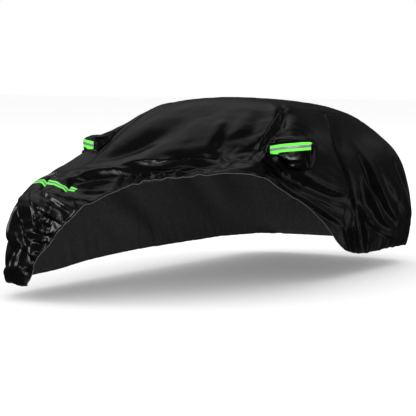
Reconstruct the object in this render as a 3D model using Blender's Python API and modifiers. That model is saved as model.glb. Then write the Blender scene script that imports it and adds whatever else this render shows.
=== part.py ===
"""Fitted cloth cover for a small three-door hatchback, pulled back from its front left corner.

Metres, +Z up, +Y towards the tail, +X to the left side of the covered shape.
The tables give y from the middle of the wheelbase and z from the ground.
The finished part is moved so that its origin is the roof seat, under the top of the roof.
Run with: blender --background --python part.py
"""
import math

import bmesh
import bpy
import numpy as np

# ---------------------------------------------------------------- driving dimensions
CLOTH = 0.002            # coated polyester with its brushed back
SEAM_GAP = 0.0003        # between sewn panels
SEAM_PULL = 0.6          # share of the gap by which each sewn edge is drawn back
TAPE = 0.001             # woven tape, and the reflective strip on it
TAPE_WIDTH = 0.062
STRIP_WIDTH = 0.020
ROOF_SEAT = (0.0, 0.30, 1.467)

# One row for each section from the front hem, over the top, to the rear hem. Each row gives the
# middle of the centre panel, its seam, the widest line at belt height and the hem.
SECTION_COLUMNS = ("name", "y_mid", "z_mid", "x_seam", "y_seam", "z_seam",
                   "x_belt", "y_belt", "z_belt", "x_hem", "y_hem", "z_hem")
SECTIONS = (
    ("front_hem",  -2.11, 0.13, 0.34, -2.10, 0.13, 0.40, -2.09, 0.13, 0.46, -2.08, 0.12),
    ("bumper",     -2.14, 0.45, 0.34, -2.12, 0.45, 0.58, -2.08, 0.38, 0.76, -2.00, 0.11),
    ("lip",        -2.10, 0.71, 0.38, -2.06, 0.71, 0.76, -1.94, 0.60, 0.88, -1.79, 0.11),
    ("bonnet",     -1.78, 0.83, 0.48, -1.76, 0.85, 0.84, -1.67, 0.75, 0.92, -1.52, 0.11),
    ("wheel",      -1.36, 0.93, 0.58, -1.34, 0.93, 0.92, -1.27, 0.83, 0.92, -1.16, 0.12),
    ("cowl",       -0.98, 1.02, 0.68, -0.90, 1.03, 0.92, -0.86, 0.95, 0.92, -0.80, 0.15),
    ("screen",     -0.58, 1.29, 0.65, -0.50, 1.26, 0.93, -0.50, 1.07, 0.91, -0.42, 0.17),
    ("roof_front", -0.20, 1.46, 0.60, -0.13, 1.42, 0.91, -0.06, 1.05, 0.90, -0.06, 0.18),
    ("roof_mid",    0.30, 1.47, 0.58,  0.30, 1.37, 0.91,  0.30, 0.98, 0.90,  0.34, 0.18),
    ("roof_rear",   0.90, 1.43, 0.58,  0.84, 1.32, 0.90,  0.80, 0.96, 0.88,  0.86, 0.18),
    ("tail_top",    1.42, 1.36, 0.53,  1.35, 1.25, 0.87,  1.21, 0.94, 0.87,  1.28, 0.18),
    ("tail_glass",  1.73, 1.12, 0.48,  1.66, 1.08, 0.83,  1.51, 0.84, 0.84,  1.58, 0.17),
    ("tail_low",    1.92, 0.78, 0.46,  1.88, 0.76, 0.74,  1.78, 0.64, 0.75,  1.76, 0.17),
    ("rear_hem",    1.91, 0.17, 0.44,  1.88, 0.17, 0.53,  1.86, 0.17, 0.62,  1.84, 0.17),
)
LAST = len(SECTIONS) - 1

# Places across the cover: 0 middle, 1 seam, 2 belt, 3 hem; the right side is negative.
SEAM, BELT, HEM = 1.0, 2.0, 3.0

# How the cloth rounds from one line of a section to the next.
CROWN_POWER = 2.2        # the centre panel bends mostly near its seams
SEAM_ROUNDING = 0.4      # place on the crown that gives the slope at the seam
LOWER_FULLNESS = 0.75    # how straight the side falls from the belt to the hem
HEM_TUCK = 0.22          # how strongly the elastic turns the cloth under at the hem
HEM_STEP = 0.05          # rows between the places that give the hem's direction
NORMAL_STEP = 0.02       # rows or lines between the places that give the cloth's slope

# The free front edge rises from the right corner, crosses the bonnet and falls to the left sill.
# Across, along: along counts the rows of SECTIONS.
FREE_EDGE = (
    (-3.00, 0.06), (-2.40, 0.19), (-1.80, 0.35), (-1.30, 0.56), (-1.00, 0.75), (-0.58, 1.23),
    (-0.20, 1.68), (0.00, 1.98), (0.13, 2.30), (0.20, 2.85), (0.31, 3.20), (0.56, 3.50),
    (0.88, 3.84), (1.26, 4.12), (1.60, 4.22), (1.87, 4.38), (2.16, 4.84), (2.35, 5.42),
    (2.51, 6.25), (2.71, 7.08), (2.87, 7.72), (3.00, 8.20),
)
# The upright seam in the left side, from the roof rail to the hem: across, along.
UPRIGHT_SEAM = (
    (1.00, 8.46), (1.31, 8.22), (1.55, 7.94), (1.85, 7.66), (2.02, 7.76), (2.18, 7.94),
    (2.38, 8.04), (2.56, 8.18), (2.71, 8.32), (2.86, 8.44), (3.00, 8.52),
)
# The tape over the front right corner, and the lines of the grid that keep in step with it.
TAPE_LINE = (
    (-3.00, 3.26), (-1.75, 3.16), (-1.35, 3.10), (-1.00, 3.02), (-0.75, 2.92), (-0.50, 2.82),
    (-0.20, 2.92), (0.20, 3.50), (1.00, 4.60),
)
SILL_CORNER = (2.90, 7.86)   # where the free edge turns along the left sill: across, along

# Each fold is a soft ridge, or a trough where its rise is negative, along a few points.
FOLD_SPREAD = 1.4        # reach of a fold to each side, in widths
FOLD_END = 0.25          # share of a fold's length over which it fades at each end
FOLD_END_RISE = 0.35     # share of its rise that it keeps there
OFF_CLOTH_SHARE = 0.3    # how much a path's distance above or below the cloth narrows its fold
FOLD_COLUMNS = ("name", "width", "rise", "path")
FOLDS = (
    ("door edge",     0.075,  0.026, ((0.91, -1.07, 0.92), (0.94, -0.60, 0.75), (0.92, 0.13, 0.48),
                                      (0.91, 0.30, 0.36))),
    ("door hollow",   0.070, -0.022, ((0.91, -0.95, 0.90), (0.94, -0.50, 0.75), (0.92, 0.22, 0.47))),
    ("door middle",   0.070,  0.028, ((0.92, -0.90, 0.93), (0.94, -0.54, 0.80), (0.92, 0.00, 0.62),
                                      (0.92, 0.28, 0.52))),
    ("door shadow",   0.070, -0.024, ((0.93, -0.80, 0.92), (0.94, -0.45, 0.84), (0.93, 0.24, 0.61))),
    ("door upper",    0.080,  0.030, ((0.93, -0.70, 0.95), (0.94, -0.38, 0.84), (0.93, 0.26, 0.69))),
    ("pillar",        0.060, -0.020, ((0.62, -0.08, 1.37), (0.66, -0.55, 1.15), (0.69, -0.88, 1.03))),
    ("zip run",       0.060, -0.014, ((0.62, 0.50, 1.33), (0.89, 0.17, 1.06), (0.93, 0.33, 0.70),
                                      (0.90, 0.58, 0.24))),
    ("quarter one",   0.080,  0.030, ((0.88, 0.58, 1.04), (0.91, 0.74, 0.90), (0.92, 0.90, 0.70),
                                      (0.90, 1.25, 0.41))),
    ("quarter gap",   0.070, -0.024, ((0.91, 0.62, 0.92), (0.92, 0.78, 0.72), (0.90, 1.16, 0.42))),
    ("quarter two",   0.075,  0.028, ((0.92, 0.58, 0.81), (0.92, 0.68, 0.66), (0.90, 1.26, 0.33))),
    ("quarter low",   0.070, -0.022, ((0.92, 0.50, 0.70), (0.91, 0.66, 0.50), (0.89, 1.15, 0.30))),
    ("quarter three", 0.070,  0.026, ((0.93, 0.38, 0.66), (0.92, 0.50, 0.55), (0.90, 1.06, 0.31),
                                      (0.89, 1.38, 0.24))),
    ("quarter back",  0.090,  0.028, ((0.91, 0.97, 0.80), (0.90, 1.23, 0.59), (0.88, 1.53, 0.37))),
    ("tail swag",     0.100,  0.026, ((0.70, 1.30, 1.12), (0.84, 1.45, 0.85), (0.86, 1.55, 0.50))),
    ("hem roll",      0.070,  0.032, ((0.14, -1.74, 0.84), (0.30, -1.52, 0.89), (0.50, -1.35, 0.93),
                                      (0.70, -1.21, 0.95), (0.90, -1.06, 0.93))),
    ("bonnet dark",   0.090, -0.026, ((-0.41, -1.67, 0.86), (-0.23, -1.38, 0.92), (0.12, -1.25, 0.95),
                                      (0.62, -1.12, 0.97))),
    ("bonnet roll",   0.090,  0.050, ((-0.36, -1.32, 0.93), (-0.05, -1.14, 0.98), (0.34, -1.06, 1.00),
                                      (0.58, -1.02, 1.00))),
    ("screen foot",   0.080, -0.030, ((-0.40, -1.14, 0.97), (0.00, -0.98, 1.02), (0.27, -0.90, 1.05),
                                      (0.43, -0.84, 1.07), (0.68, -0.85, 1.05))),
    ("wing pillow",   0.110,  0.040, ((0.62, -1.06, 0.98), (0.86, -1.00, 0.96))),
    ("bonnet patch",  0.130,  0.030, ((-0.66, -1.46, 0.88), (-0.40, -1.42, 0.91), (-0.16, -1.30, 0.94))),
    ("bonnet front",  0.090,  0.026, ((-0.30, -1.72, 0.85), (0.05, -1.60, 0.87))),
    ("screen sweep",  0.150,  0.018, ((-0.78, -1.20, 0.93), (-0.52, -0.70, 1.16), (-0.14, -0.30, 1.42))),
    ("screen valley", 0.120, -0.022, ((-0.60, -1.02, 0.99), (-0.24, -0.72, 1.18), (-0.05, -0.50, 1.33))),
    ("screen crease", 0.070, -0.020, ((0.32, -0.66, 1.22), (0.42, -0.90, 1.05))),
    ("tape ridge",    0.090,  0.020, ((-0.78, -1.54, 0.87), (-0.65, -1.60, 0.88), (-0.50, -1.66, 0.87),
                                      (-0.36, -1.72, 0.85))),
    ("corner upper",  0.080,  0.030, ((-0.54, -1.82, 0.81), (-0.30, -2.02, 0.74), (-0.04, -2.10, 0.70))),
    ("corner hollow", 0.070, -0.026, ((-0.62, -1.82, 0.79), (-0.36, -2.05, 0.68), (-0.10, -2.13, 0.63))),
    ("corner lower",  0.080,  0.030, ((-0.70, -1.80, 0.78), (-0.42, -2.06, 0.64), (-0.18, -2.14, 0.57))),
    ("corner facet",  0.090, -0.036, ((-0.52, -2.02, 0.62), (-0.36, -2.11, 0.54), (-0.24, -2.13, 0.48))),
    ("corner inner",  0.075,  0.036, ((-0.64, -1.98, 0.70), (-0.50, -2.08, 0.55), (-0.45, -2.10, 0.44),
                                      (-0.40, -2.11, 0.30))),
    ("corner dark",   0.070, -0.034, ((-0.66, -2.00, 0.62), (-0.56, -2.07, 0.45), (-0.50, -2.08, 0.24))),
    ("corner outer",  0.080,  0.036, ((-0.70, -1.98, 0.62), (-0.63, -2.05, 0.42), (-0.58, -2.07, 0.20))),
    ("corner side",   0.110, -0.030, ((-0.84, -1.82, 0.66), (-0.78, -1.98, 0.36), (-0.74, -2.02, 0.18))),
    ("right wing",    0.130,  0.024, ((-0.92, -0.95, 0.92), (-0.94, -1.40, 0.60), (-0.92, -1.75, 0.34))),
    ("right door",    0.120,  0.026, ((-0.93, -0.55, 0.92), (-0.93, -0.05, 0.66), (-0.91, 0.45, 0.34))),
    ("right door low", 0.110, -0.022, ((-0.93, -0.70, 0.80), (-0.93, -0.25, 0.52), (-0.91, 0.20, 0.28))),
    ("right quarter", 0.120,  0.028, ((-0.90, 0.62, 0.98), (-0.92, 0.95, 0.70), (-0.89, 1.45, 0.36))),
    ("right tail",    0.120, -0.022, ((-0.91, 0.95, 0.92), (-0.91, 1.25, 0.66), (-0.87, 1.60, 0.34))),
    ("tail left",     0.140,  0.020, ((0.30, 1.72, 1.14), (0.36, 1.90, 0.74), (0.44, 1.90, 0.30))),
    ("tail right",    0.140,  0.020, ((-0.30, 1.72, 1.14), (-0.38, 1.90, 0.74), (-0.46, 1.90, 0.30))),
    ("tail middle",   0.160, -0.018, ((0.00, 1.74, 1.12), (-0.04, 1.92, 0.70), (0.02, 1.91, 0.30))),
)

# Grid of the cover: rows from the free edge to the tape, over it, on to the upright seam and to
# the tail, and the columns of each panel.
EDGE_ROWS = 12
TAPE_ROWS = 3
SCREEN_ROWS = 22
REAR_ROWS = 28
FRONT_ROWS = EDGE_ROWS + TAPE_ROWS + SCREEN_ROWS
CENTRE_COLUMNS = 16
RIGHT_COLUMNS = 12
LEFT_COLUMNS = 14

# Mirror pockets. A block of cells is left out of the side panel's grid for each. The hole has 20
# edges, and turn is the place of its front top corner among them, counted up from the tape.
HOLE_COLUMNS = ("first_row", "first_column", "rows", "columns", "turn")
POCKET_COLUMNS = ("name", "side", "hole", "z_tape", "climb", "rings")
RING_COLUMNS = ("x_front", "x_back", "y_front", "y_back", "z_low", "z_high")
POCKETS = (
    ("left", 1, (17, 1, 5, 5, 1), 1.112, 0.080, (
        (0.795, 0.930, -0.797, -0.470, 1.065, 1.198),
        (0.825, 0.940, -0.796, -0.465, 1.045, 1.204),
        (0.900, 0.965, -0.786, -0.455, 1.000, 1.210),
        (0.965, 1.005, -0.764, -0.450, 0.950, 1.207),
        (1.025, 1.038, -0.732, -0.458, 0.943, 1.195),
        (1.062, 1.064, -0.700, -0.480, 0.965, 1.180),
        (1.081, 1.080, -0.664, -0.515, 1.010, 1.166),
        (1.088, 1.086, -0.632, -0.545, 1.045, 1.156))),
    ("right", -1, (23, 1, 4, 6, 2), 1.106, 0.030, (
        (0.770, 0.920, -0.818, -0.480, 1.030, 1.170),
        (0.800, 0.928, -0.816, -0.475, 1.015, 1.174),
        (0.870, 0.942, -0.796, -0.465, 0.985, 1.176),
        (0.920, 0.958, -0.765, -0.455, 0.955, 1.173),
        (0.955, 0.973, -0.737, -0.458, 0.950, 1.164),
        (0.980, 0.988, -0.708, -0.480, 0.970, 1.152),
        (0.995, 0.997, -0.672, -0.515, 1.000, 1.142),
        (1.002, 1.002, -0.642, -0.545, 1.035, 1.134))),
)
POCKET_BACK_POINTS = 16      # of a ring, from the tape's top edge round to its foot
TAPE_REACH = 0.9             # share of a pocket's height that its tape may take
POCKET_TIP = 0.008           # how far a pocket's end stands out in its middle
RIM_GAPS = 1.5               # seam gaps between a pocket's rim and the edge of its hole
TAPE_RINGS = slice(3, -1)    # the rings that a pocket's tape crosses
TAPE_START = 0.15            # share of the way to its second ring at which it starts
POCKET_CLEARANCE = 0.022     # between a pocket's first ring and the panel that it stands over
SQUARENESS = 2.0 / 3.0       # power that rounds a pocket's section

# Cells of the corner tape to each side of the right seam.
TAPE_ON_SIDE = 4
TAPE_ON_CENTRE = 4
TAPE_LIFT = 0.00095         # of a tape off the cloth, which is cut in flat facets below it

CLOTH_COLOUR = (0.020, 0.020, 0.021, 1.0)
GREEN_COLOUR = (0.110, 0.760, 0.045, 1.0)
GREY_COLOUR = (0.300, 0.340, 0.360, 1.0)


# ---------------------------------------------------------------- the shape of the cover
def smooth_row(table, along):
    """Read a table at a place between its rows, on a smooth curve through them."""
    rows = np.vstack([2 * table[0] - table[1], table, 2 * table[-1] - table[-2]])
    k = np.clip(np.floor(along).astype(int), 0, len(table) - 2)
    f = (along - k)[..., None]
    a, b, c, d = rows[k], rows[k + 1], rows[k + 2], rows[k + 3]
    return 0.5 * (2 * b + (c - a) * f + (2 * a - 5 * b + 4 * c - d) * f**2
                  + (3 * b - a - 3 * c + d) * f**3)


def crown(section, v):
    """A point of the centre panel: v is 0 in the middle and 1 at the seam."""
    v = np.asarray(v)[..., None]
    y_mid, z_mid = section[..., 0:1], section[..., 1:2]
    x_seam, y_seam, z_seam = section[..., 2:3], section[..., 3:4], section[..., 4:5]
    return np.concatenate([x_seam * v, y_mid + (y_seam - y_mid) * v**2,
                           z_mid + (z_seam - z_mid) * v**CROWN_POWER], axis=-1)


def arc_between(start, end, leave, arrive, s):
    """A smooth curve from start to end that leaves and arrives in the given directions."""
    s = s[..., None]
    return (start * (2 * s**3 - 3 * s**2 + 1) + leave * (s**3 - 2 * s**2 + s)
            + end * (3 * s**2 - 2 * s**3) + arrive * (s**3 - s**2))


SECTION_TABLE = np.array([row[1:] for row in SECTIONS])


def plain_cover(along, across):
    """The cover without folds, as taut cloth."""
    along, across = np.broadcast_arrays(np.asarray(along, float), np.asarray(across, float))
    section = smooth_row(SECTION_TABLE, along)
    reach = np.abs(across)
    seam, belt, hem = section[..., 2:5], section[..., 5:8], section[..., 8:11]
    before_seam = crown(section, np.full(along.shape, SEAM_ROUNDING))
    at_belt = 0.5 * (hem - seam)
    along_hem = smooth_row(SECTION_TABLE, along + HEM_STEP) - smooth_row(SECTION_TABLE, along - HEM_STEP)
    under = np.stack([-along_hem[..., 9], along_hem[..., 8], np.zeros(along.shape)], axis=-1)
    under /= np.linalg.norm(under, axis=-1, keepdims=True)
    at_hem = LOWER_FULLNESS * (hem - belt) + HEM_TUCK * under
    top = crown(section, np.minimum(reach, 1.0))
    upper = arc_between(seam, belt, 0.5 * (belt - before_seam), at_belt, np.clip(reach - SEAM, 0, 1))
    lower = arc_between(belt, hem, at_belt, at_hem, np.maximum(reach - BELT, 0))
    point = np.where((reach <= SEAM)[..., None], top, np.where((reach <= BELT)[..., None], upper, lower))
    point = point.copy()
    point[..., 0] *= np.where(across < 0, -1.0, 1.0)
    return point


def outward(shape, along, across, step=NORMAL_STEP):
    """The direction straight out of the cloth."""
    down = shape(along, across + step) - shape(along, across - step)
    back = shape(along + step, across) - shape(along - step, across)
    normal = np.cross(down, back)
    return normal / np.linalg.norm(normal, axis=-1, keepdims=True)


def fold_height(point, normal, width, rise, path):
    """How far a fold lifts the cloth at each point, measured along the cloth."""
    path = np.array(path)
    lengths = np.linalg.norm(np.diff(path, axis=0), axis=1)
    starts = np.concatenate([[0.0], np.cumsum(lengths)])
    nearest = np.full(point.shape[:-1], np.inf)
    place = np.zeros(point.shape[:-1])
    for a, b, length, start in zip(path[:-1], path[1:], lengths, starts):
        u = np.clip(((point - a) @ (b - a)) / length**2, 0, 1)
        away = point - (a + u[..., None] * (b - a))
        off_cloth = (away * normal).sum(-1)
        distance = np.sqrt(np.maximum((away**2).sum(-1) - off_cloth**2, 0.0))
        distance = distance + OFF_CLOTH_SHARE * np.abs(off_cloth)
        closer = distance < nearest
        nearest = np.where(closer, distance, nearest)
        place = np.where(closer, start + u * length, place)
    fade = np.clip(np.minimum(place, starts[-1] - place) / (FOLD_END * starts[-1]), 0, 1)
    fade = FOLD_END_RISE + (1 - FOLD_END_RISE) * fade * fade * (3 - 2 * fade)
    across_fold = np.cos(0.5 * math.pi * np.clip(nearest / (FOLD_SPREAD * width), 0, 1)) ** 2
    return rise * fade * across_fold


def cover(along, across):
    """The draped cover: the plain shape with its folds."""
    along, across = np.broadcast_arrays(np.asarray(along, float), np.asarray(across, float))
    point = plain_cover(along, across)
    normal = outward(plain_cover, along, across)
    lift = sum(fold_height(point, normal, width, rise, path) for _, width, rise, path in FOLDS)
    return point + normal * lift[..., None]


# ---------------------------------------------------------------- panels as grids of places
def along_edge(table, across):
    """Read a table of (across, along) rows."""
    return np.interp(across, [row[0] for row in table], [row[1] for row in table])


def long_rows(across):
    """Places along the cover at one line of it: from the free edge to the seam, then to the tail."""
    line = along_edge(TAPE_LINE, across)
    nearby = plain_cover(np.array([line - 0.05, line + 0.05]), across)
    row_length = np.linalg.norm(nearby[1] - nearby[0]) / 0.1
    tape = line + np.array([-TAPE_WIDTH, -STRIP_WIDTH, STRIP_WIDTH, TAPE_WIDTH]) / 2 / row_length
    split = along_edge(UPRIGHT_SEAM, max(across, SEAM))
    edge = np.linspace(along_edge(FREE_EDGE, across), tape[0], EDGE_ROWS + 1)
    screen = np.linspace(tape[-1], split, SCREEN_ROWS + 1)
    rear = np.linspace(split, LAST, REAR_ROWS + 1)
    return np.concatenate([edge[:-1], tape, screen[1:], rear[1:]])


def strip_grid(first, last, columns):
    """A panel that runs the whole length between two lines across the cover."""
    lines = np.linspace(first, last, columns + 1)
    along = np.stack([long_rows(line) for line in lines], axis=1)
    return along, np.broadcast_to(lines, along.shape)


def left_rear_grid():
    along, across = strip_grid(SEAM, HEM, LEFT_COLUMNS)
    return along[FRONT_ROWS:], across[FRONT_ROWS:]


def left_front_grid():
    """The peeled panel: seam on top, upright seam behind, free edge in front, a short sill below."""
    top = long_rows(SEAM)[:FRONT_ROWS + 1]
    a = ((top - top[0]) / (top[-1] - top[0]))[:, None]
    b = np.linspace(0, 1, LEFT_COLUMNS + 1)[None, :]
    edge = [row for row in FREE_EDGE if SEAM < row[0] < SILL_CORNER[0]]
    edge = [(SEAM, float(along_edge(FREE_EDGE, SEAM)))] + edge + [SILL_CORNER]
    walk = np.concatenate([[0], np.cumsum(np.hypot(*np.diff(np.array(edge), axis=0).T))])
    edge_across, edge_along = (np.interp(b, walk / walk[-1], [row[k] for row in edge]) for k in (0, 1))
    seam_across = SEAM + (HEM - SEAM) * b
    seam_along = along_edge(UPRIGHT_SEAM, seam_across)
    corners = {"top_front": (edge[0][1], SEAM), "top_rear": (seam_along[0, 0], SEAM),
               "low_front": (SILL_CORNER[1], SILL_CORNER[0]), "low_rear": (seam_along[0, -1], HEM)}

    def blend(k, front, rear):
        tf, tr, lf, lr = (corners[name][k] for name in ("top_front", "top_rear", "low_front", "low_rear"))
        top = tf + (tr - tf) * a
        low = lf + (lr - lf) * a
        flat = (1 - a) * (1 - b) * tf + a * (1 - b) * tr + (1 - a) * b * lf + a * b * lr
        return (1 - b) * top + b * low + (1 - a) * front + a * rear - flat

    return blend(0, edge_along, seam_along), blend(1, edge_across, seam_across)


def seam_ends(along, across, seams):
    """Outer and inner points of a panel, its sewn edges drawn back by half a seam gap."""
    outer = cover(along, across)
    normal = outward(cover, along, across)
    taut = outward(plain_cover, along, across)
    inner = outer - CLOTH * normal
    for axis, end in seams:
        step = 1 if end == 0 else -1
        edge = (end,) if axis == 0 else (slice(None), end)
        beside = (end + step,) if axis == 0 else (slice(None), end + step)
        inner[edge] = outer[edge] - CLOTH * taut[edge]
        pull = outer[beside] - outer[edge]
        pull = SEAM_PULL * SEAM_GAP * pull / np.linalg.norm(pull, axis=-1, keepdims=True)
        outer[edge] += pull
        inner[edge] += pull
    return outer, inner


# ---------------------------------------------------------------- meshes
def material(name, colour, roughness, metallic=0.0):
    made = bpy.data.materials.new(name)
    made.use_nodes = True
    shader = made.node_tree.nodes["Principled BSDF"]
    shader.inputs["Base Color"].default_value = colour
    shader.inputs["Roughness"].default_value = roughness
    shader.inputs["Metallic"].default_value = metallic
    made.diffuse_color = colour
    return made


def add_object(name, bm, made):
    mesh = bpy.data.meshes.new(name)
    bm.to_mesh(mesh)
    bm.free()
    mesh.shade_smooth()
    mesh.materials.append(made)
    node = bpy.data.objects.new(name, mesh)
    collection.objects.link(node)
    return node


def sheet(name, outer, inner, made, hole=None):
    """A closed sheet from two grids of points, with an optional block of cells left out."""
    rows, columns = outer.shape[0] - 1, outer.shape[1] - 1
    bm = bmesh.new()
    bmesh.ops.create_grid(bm, x_segments=rows, y_segments=columns, size=1.0)
    place = {}
    for vert in bm.verts:
        place[vert] = (round((vert.co.x + 1) / 2 * rows), round((vert.co.y + 1) / 2 * columns))
    if hole:
        row, column, row_cells, column_cells, _ = hole
        cut = [face for face in bm.faces
               if all(row <= place[v][0] <= row + row_cells
                      and column <= place[v][1] <= column + column_cells for v in face.verts)]
        bmesh.ops.delete(bm, geom=cut, context="FACES")
    raised = bmesh.ops.extrude_face_region(bm, geom=bm.faces[:], use_keep_orig=True)
    top = {item for item in raised["geom"] if isinstance(item, bmesh.types.BMVert)}
    for vert in bm.verts:
        i = round((vert.co.x + 1) / 2 * rows)
        j = round((vert.co.y + 1) / 2 * columns)
        vert.co = outer[i, j] if vert in top else inner[i, j]
    bmesh.ops.recalc_face_normals(bm, faces=bm.faces[:])
    if bm.calc_volume(signed=True) < 0:
        bmesh.ops.reverse_faces(bm, faces=bm.faces[:])
    return add_object(name, bm, made)


def hole_loop(grid, hole):
    """The points around a pocket's hole, in the order of a ring's points."""
    row, column, rows, columns, turn = hole
    steps = [(k, 0) for k in range(rows)]
    steps += [(rows, k) for k in range(columns)]
    steps += [(k, columns) for k in range(rows, 0, -1)]
    steps += [(0, k) for k in range(columns, 0, -1)]
    loop = np.array([grid[row + i, column + j] for i, j in steps])
    return np.roll(loop, turn, axis=0)


def pocket_section(side, z_tape, climb, x_root, ring):
    """One ring of a pocket: a rounded oblong with points on the edges of its tape and strip."""
    x_front, x_back, y_front, y_back, z_low, z_high = ring
    z_tape = z_tape + climb * (x_front - x_root)
    half_depth = 0.5 * (y_back - y_front)
    angles = []
    for level in (-STRIP_WIDTH / 2, STRIP_WIDTH / 2, TAPE_WIDTH / 2):
        half = z_high - z_tape if level > 0 else z_tape - z_low
        share = min(abs(level) / half, TAPE_REACH)
        angles.append(math.copysign(math.asin(share ** (1 / SQUARENESS)), level))
    share = min(0.5 * TAPE_WIDTH / (z_tape - z_low), TAPE_REACH)
    tape_foot = 2 * math.pi - math.asin(share ** (1 / SQUARENESS))
    angles += list(np.linspace(angles[-1], tape_foot, POCKET_BACK_POINTS + 2)[1:])
    points = []
    for angle in angles:
        c, s = math.cos(angle), math.sin(angle)
        half = z_high - z_tape if s > 0 else z_tape - z_low
        y = 0.5 * (y_front + y_back) - half_depth * math.copysign(abs(c) ** SQUARENESS, c)
        z = z_tape + half * math.copysign(abs(s) ** SQUARENESS, s)
        x = x_front + (x_back - x_front) * (y - y_front) / (y_back - y_front)
        points.append((side * x, y, z))
    return np.array(points)


def clear_of_panel(section, side, panel):
    """Move a ring's points, but for its tape's, out until they clear the side panel below them."""
    places = panel.reshape(-1, 3)
    for point in section[3:-1]:
        distance = np.hypot(*(places[:, 1:] - point[1:]).T)
        reach = side * places[np.argsort(distance)[:4], 0]
        point[0] = side * max(side * point[0], reach.max() + POCKET_CLEARANCE)
    return section


def pocket_rings(side, z_tape, climb, rings, rim_outer, rim_inner, panel):
    """Rings from the hole's rim out to the end of the pocket."""
    centre = rim_outer.mean(axis=0)
    draw_in = centre - rim_outer
    draw_in /= np.linalg.norm(draw_in, axis=1, keepdims=True)
    draw_in *= RIM_GAPS * SEAM_GAP
    first = [rim_inner + draw_in, rim_outer + draw_in]
    x_root = rings[0][0]
    sections = [pocket_section(side, z_tape, climb, x_root, ring) for ring in rings]
    return first + [clear_of_panel(section, side, panel) for section in sections]


def cup_mesh(rings, tip_step):
    """An open cup through rings of points, its far end closed around a tip."""
    bm = bmesh.new()
    count = len(rings[0])
    loops = [[bm.verts.new(point) for point in ring] for ring in rings]
    for near, far in zip(loops[:-1], loops[1:]):
        for k in range(count):
            bm.faces.new((near[k], near[(k + 1) % count], far[(k + 1) % count], far[k]))
    tip = bm.verts.new(np.mean(rings[-1], axis=0) + tip_step)
    for k in range(count):
        bm.faces.new((loops[-1][k], loops[-1][(k + 1) % count], tip))
    return bm


def band(name, surface, normals, lift, made):
    """A thin tape over a grid of points, lifted off it."""
    return sheet(name, surface + (lift + TAPE) * normals, surface + lift * normals, made)


def pocket(side_name, side, z_tape, climb, rings, rim_outer, rim_inner, panel):
    rings = pocket_rings(side, z_tape, climb, rings, rim_outer, rim_inner, panel)
    bm = cup_mesh(rings, tip_step=np.array((side * POCKET_TIP, 0.0, 0.0)))
    bmesh.ops.recalc_face_normals(bm, faces=bm.faces[:])
    if side * sum(face.normal.x for face in bm.faces) < 0:
        bmesh.ops.reverse_faces(bm, faces=bm.faces[:])
    node = add_object(f"{side_name}_mirror_pocket", bm, black_cloth)
    shell = node.modifiers.new("Cloth", "SOLIDIFY")
    shell.thickness = CLOTH
    shell.offset = -1.0
    count = len(rings[0])
    tape_columns = (count - 1, 0, 1, 2)
    grid = np.array([[ring[k] for k in tape_columns] for ring in rings[TAPE_RINGS]])
    grid[0] += TAPE_START * (grid[1] - grid[0])
    length = np.gradient(grid, axis=0)
    height = np.gradient(grid, axis=1)
    normals = np.cross(length, height) * side
    normals /= np.linalg.norm(normals, axis=-1, keepdims=True)
    band(f"{side_name}_mirror_tape", grid, normals, TAPE_LIFT, green_tape)
    band(f"{side_name}_mirror_strip", grid[:, 1:3], normals[:, 1:3], TAPE_LIFT + TAPE + SEAM_GAP, grey_strip)


def corner_tape():
    """The tape over the front right corner, in step with the cells below it."""
    rows = slice(EDGE_ROWS, EDGE_ROWS + TAPE_ROWS + 1)
    on_side = right_outer[rows, TAPE_ON_SIDE::-1]
    on_centre = centre_outer[rows, 1:TAPE_ON_CENTRE + 1]
    grid = np.concatenate([on_side, on_centre], axis=1)
    side_normal = outward(cover, *right_grid)[rows, TAPE_ON_SIDE::-1]
    centre_normal = outward(cover, *centre_grid)[rows, 1:TAPE_ON_CENTRE + 1]
    normals = np.concatenate([side_normal, centre_normal], axis=1)
    band("corner_tape", grid, normals, TAPE_LIFT, green_tape)
    band("corner_strip", grid[1:3], normals[1:3], TAPE_LIFT + TAPE + SEAM_GAP, grey_strip)


# ---------------------------------------------------------------- build
for item in list(bpy.data.objects):
    bpy.data.objects.remove(item, do_unlink=True)
collection = bpy.data.collections.new("car_cover")
bpy.context.scene.collection.children.link(collection)
black_cloth = material("black cloth", CLOTH_COLOUR, 0.55)
green_tape = material("green tape", GREEN_COLOUR, 0.50)
grey_strip = material("grey strip", GREY_COLOUR, 0.30, 0.3)

seat = np.array(ROOF_SEAT)
centre_grid = strip_grid(-SEAM, SEAM, CENTRE_COLUMNS)
right_grid = strip_grid(-SEAM, -HEM, RIGHT_COLUMNS)
left_front = left_front_grid()
left_rear = left_rear_grid()

centre_outer, centre_inner = seam_ends(*centre_grid, seams=((1, 0), (1, -1)))
sheet("centre_panel", centre_outer, centre_inner, black_cloth)
right_outer, right_inner = seam_ends(*right_grid, seams=((1, 0),))
sheet("right_side_panel", right_outer, right_inner, black_cloth, hole=POCKETS[1][2])
front_outer, front_inner = seam_ends(*left_front, seams=((1, 0), (0, -1)))
sheet("left_front_panel", front_outer, front_inner, black_cloth, hole=POCKETS[0][2])
rear_outer, rear_inner = seam_ends(*left_rear, seams=((1, 0), (0, 0)))
sheet("left_rear_panel", rear_outer, rear_inner, black_cloth)

for pocket_name, pocket_side, pocket_hole, tape_height, tape_climb, pocket_table in POCKETS:
    panel_outer = front_outer if pocket_side > 0 else right_outer
    panel_inner = front_inner if pocket_side > 0 else right_inner
    pocket(pocket_name, pocket_side, tape_height, tape_climb, pocket_table,
           hole_loop(panel_outer, pocket_hole), hole_loop(panel_inner, pocket_hole), panel_outer)
corner_tape()

for node in collection.objects:
    for vertex in node.data.vertices:
        vertex.co -= type(vertex.co)(seat)
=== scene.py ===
"""Fitted cloth cover for a small three-door hatchback, pulled back from its front left corner.

The cover is a set of sewn panels of black coated polyester, with pockets for the door mirrors and
green tape with a grey reflective strip. Metres, +Z up, +Y towards the tail, +X to the left side.
"""
import math
from itertools import product

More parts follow.
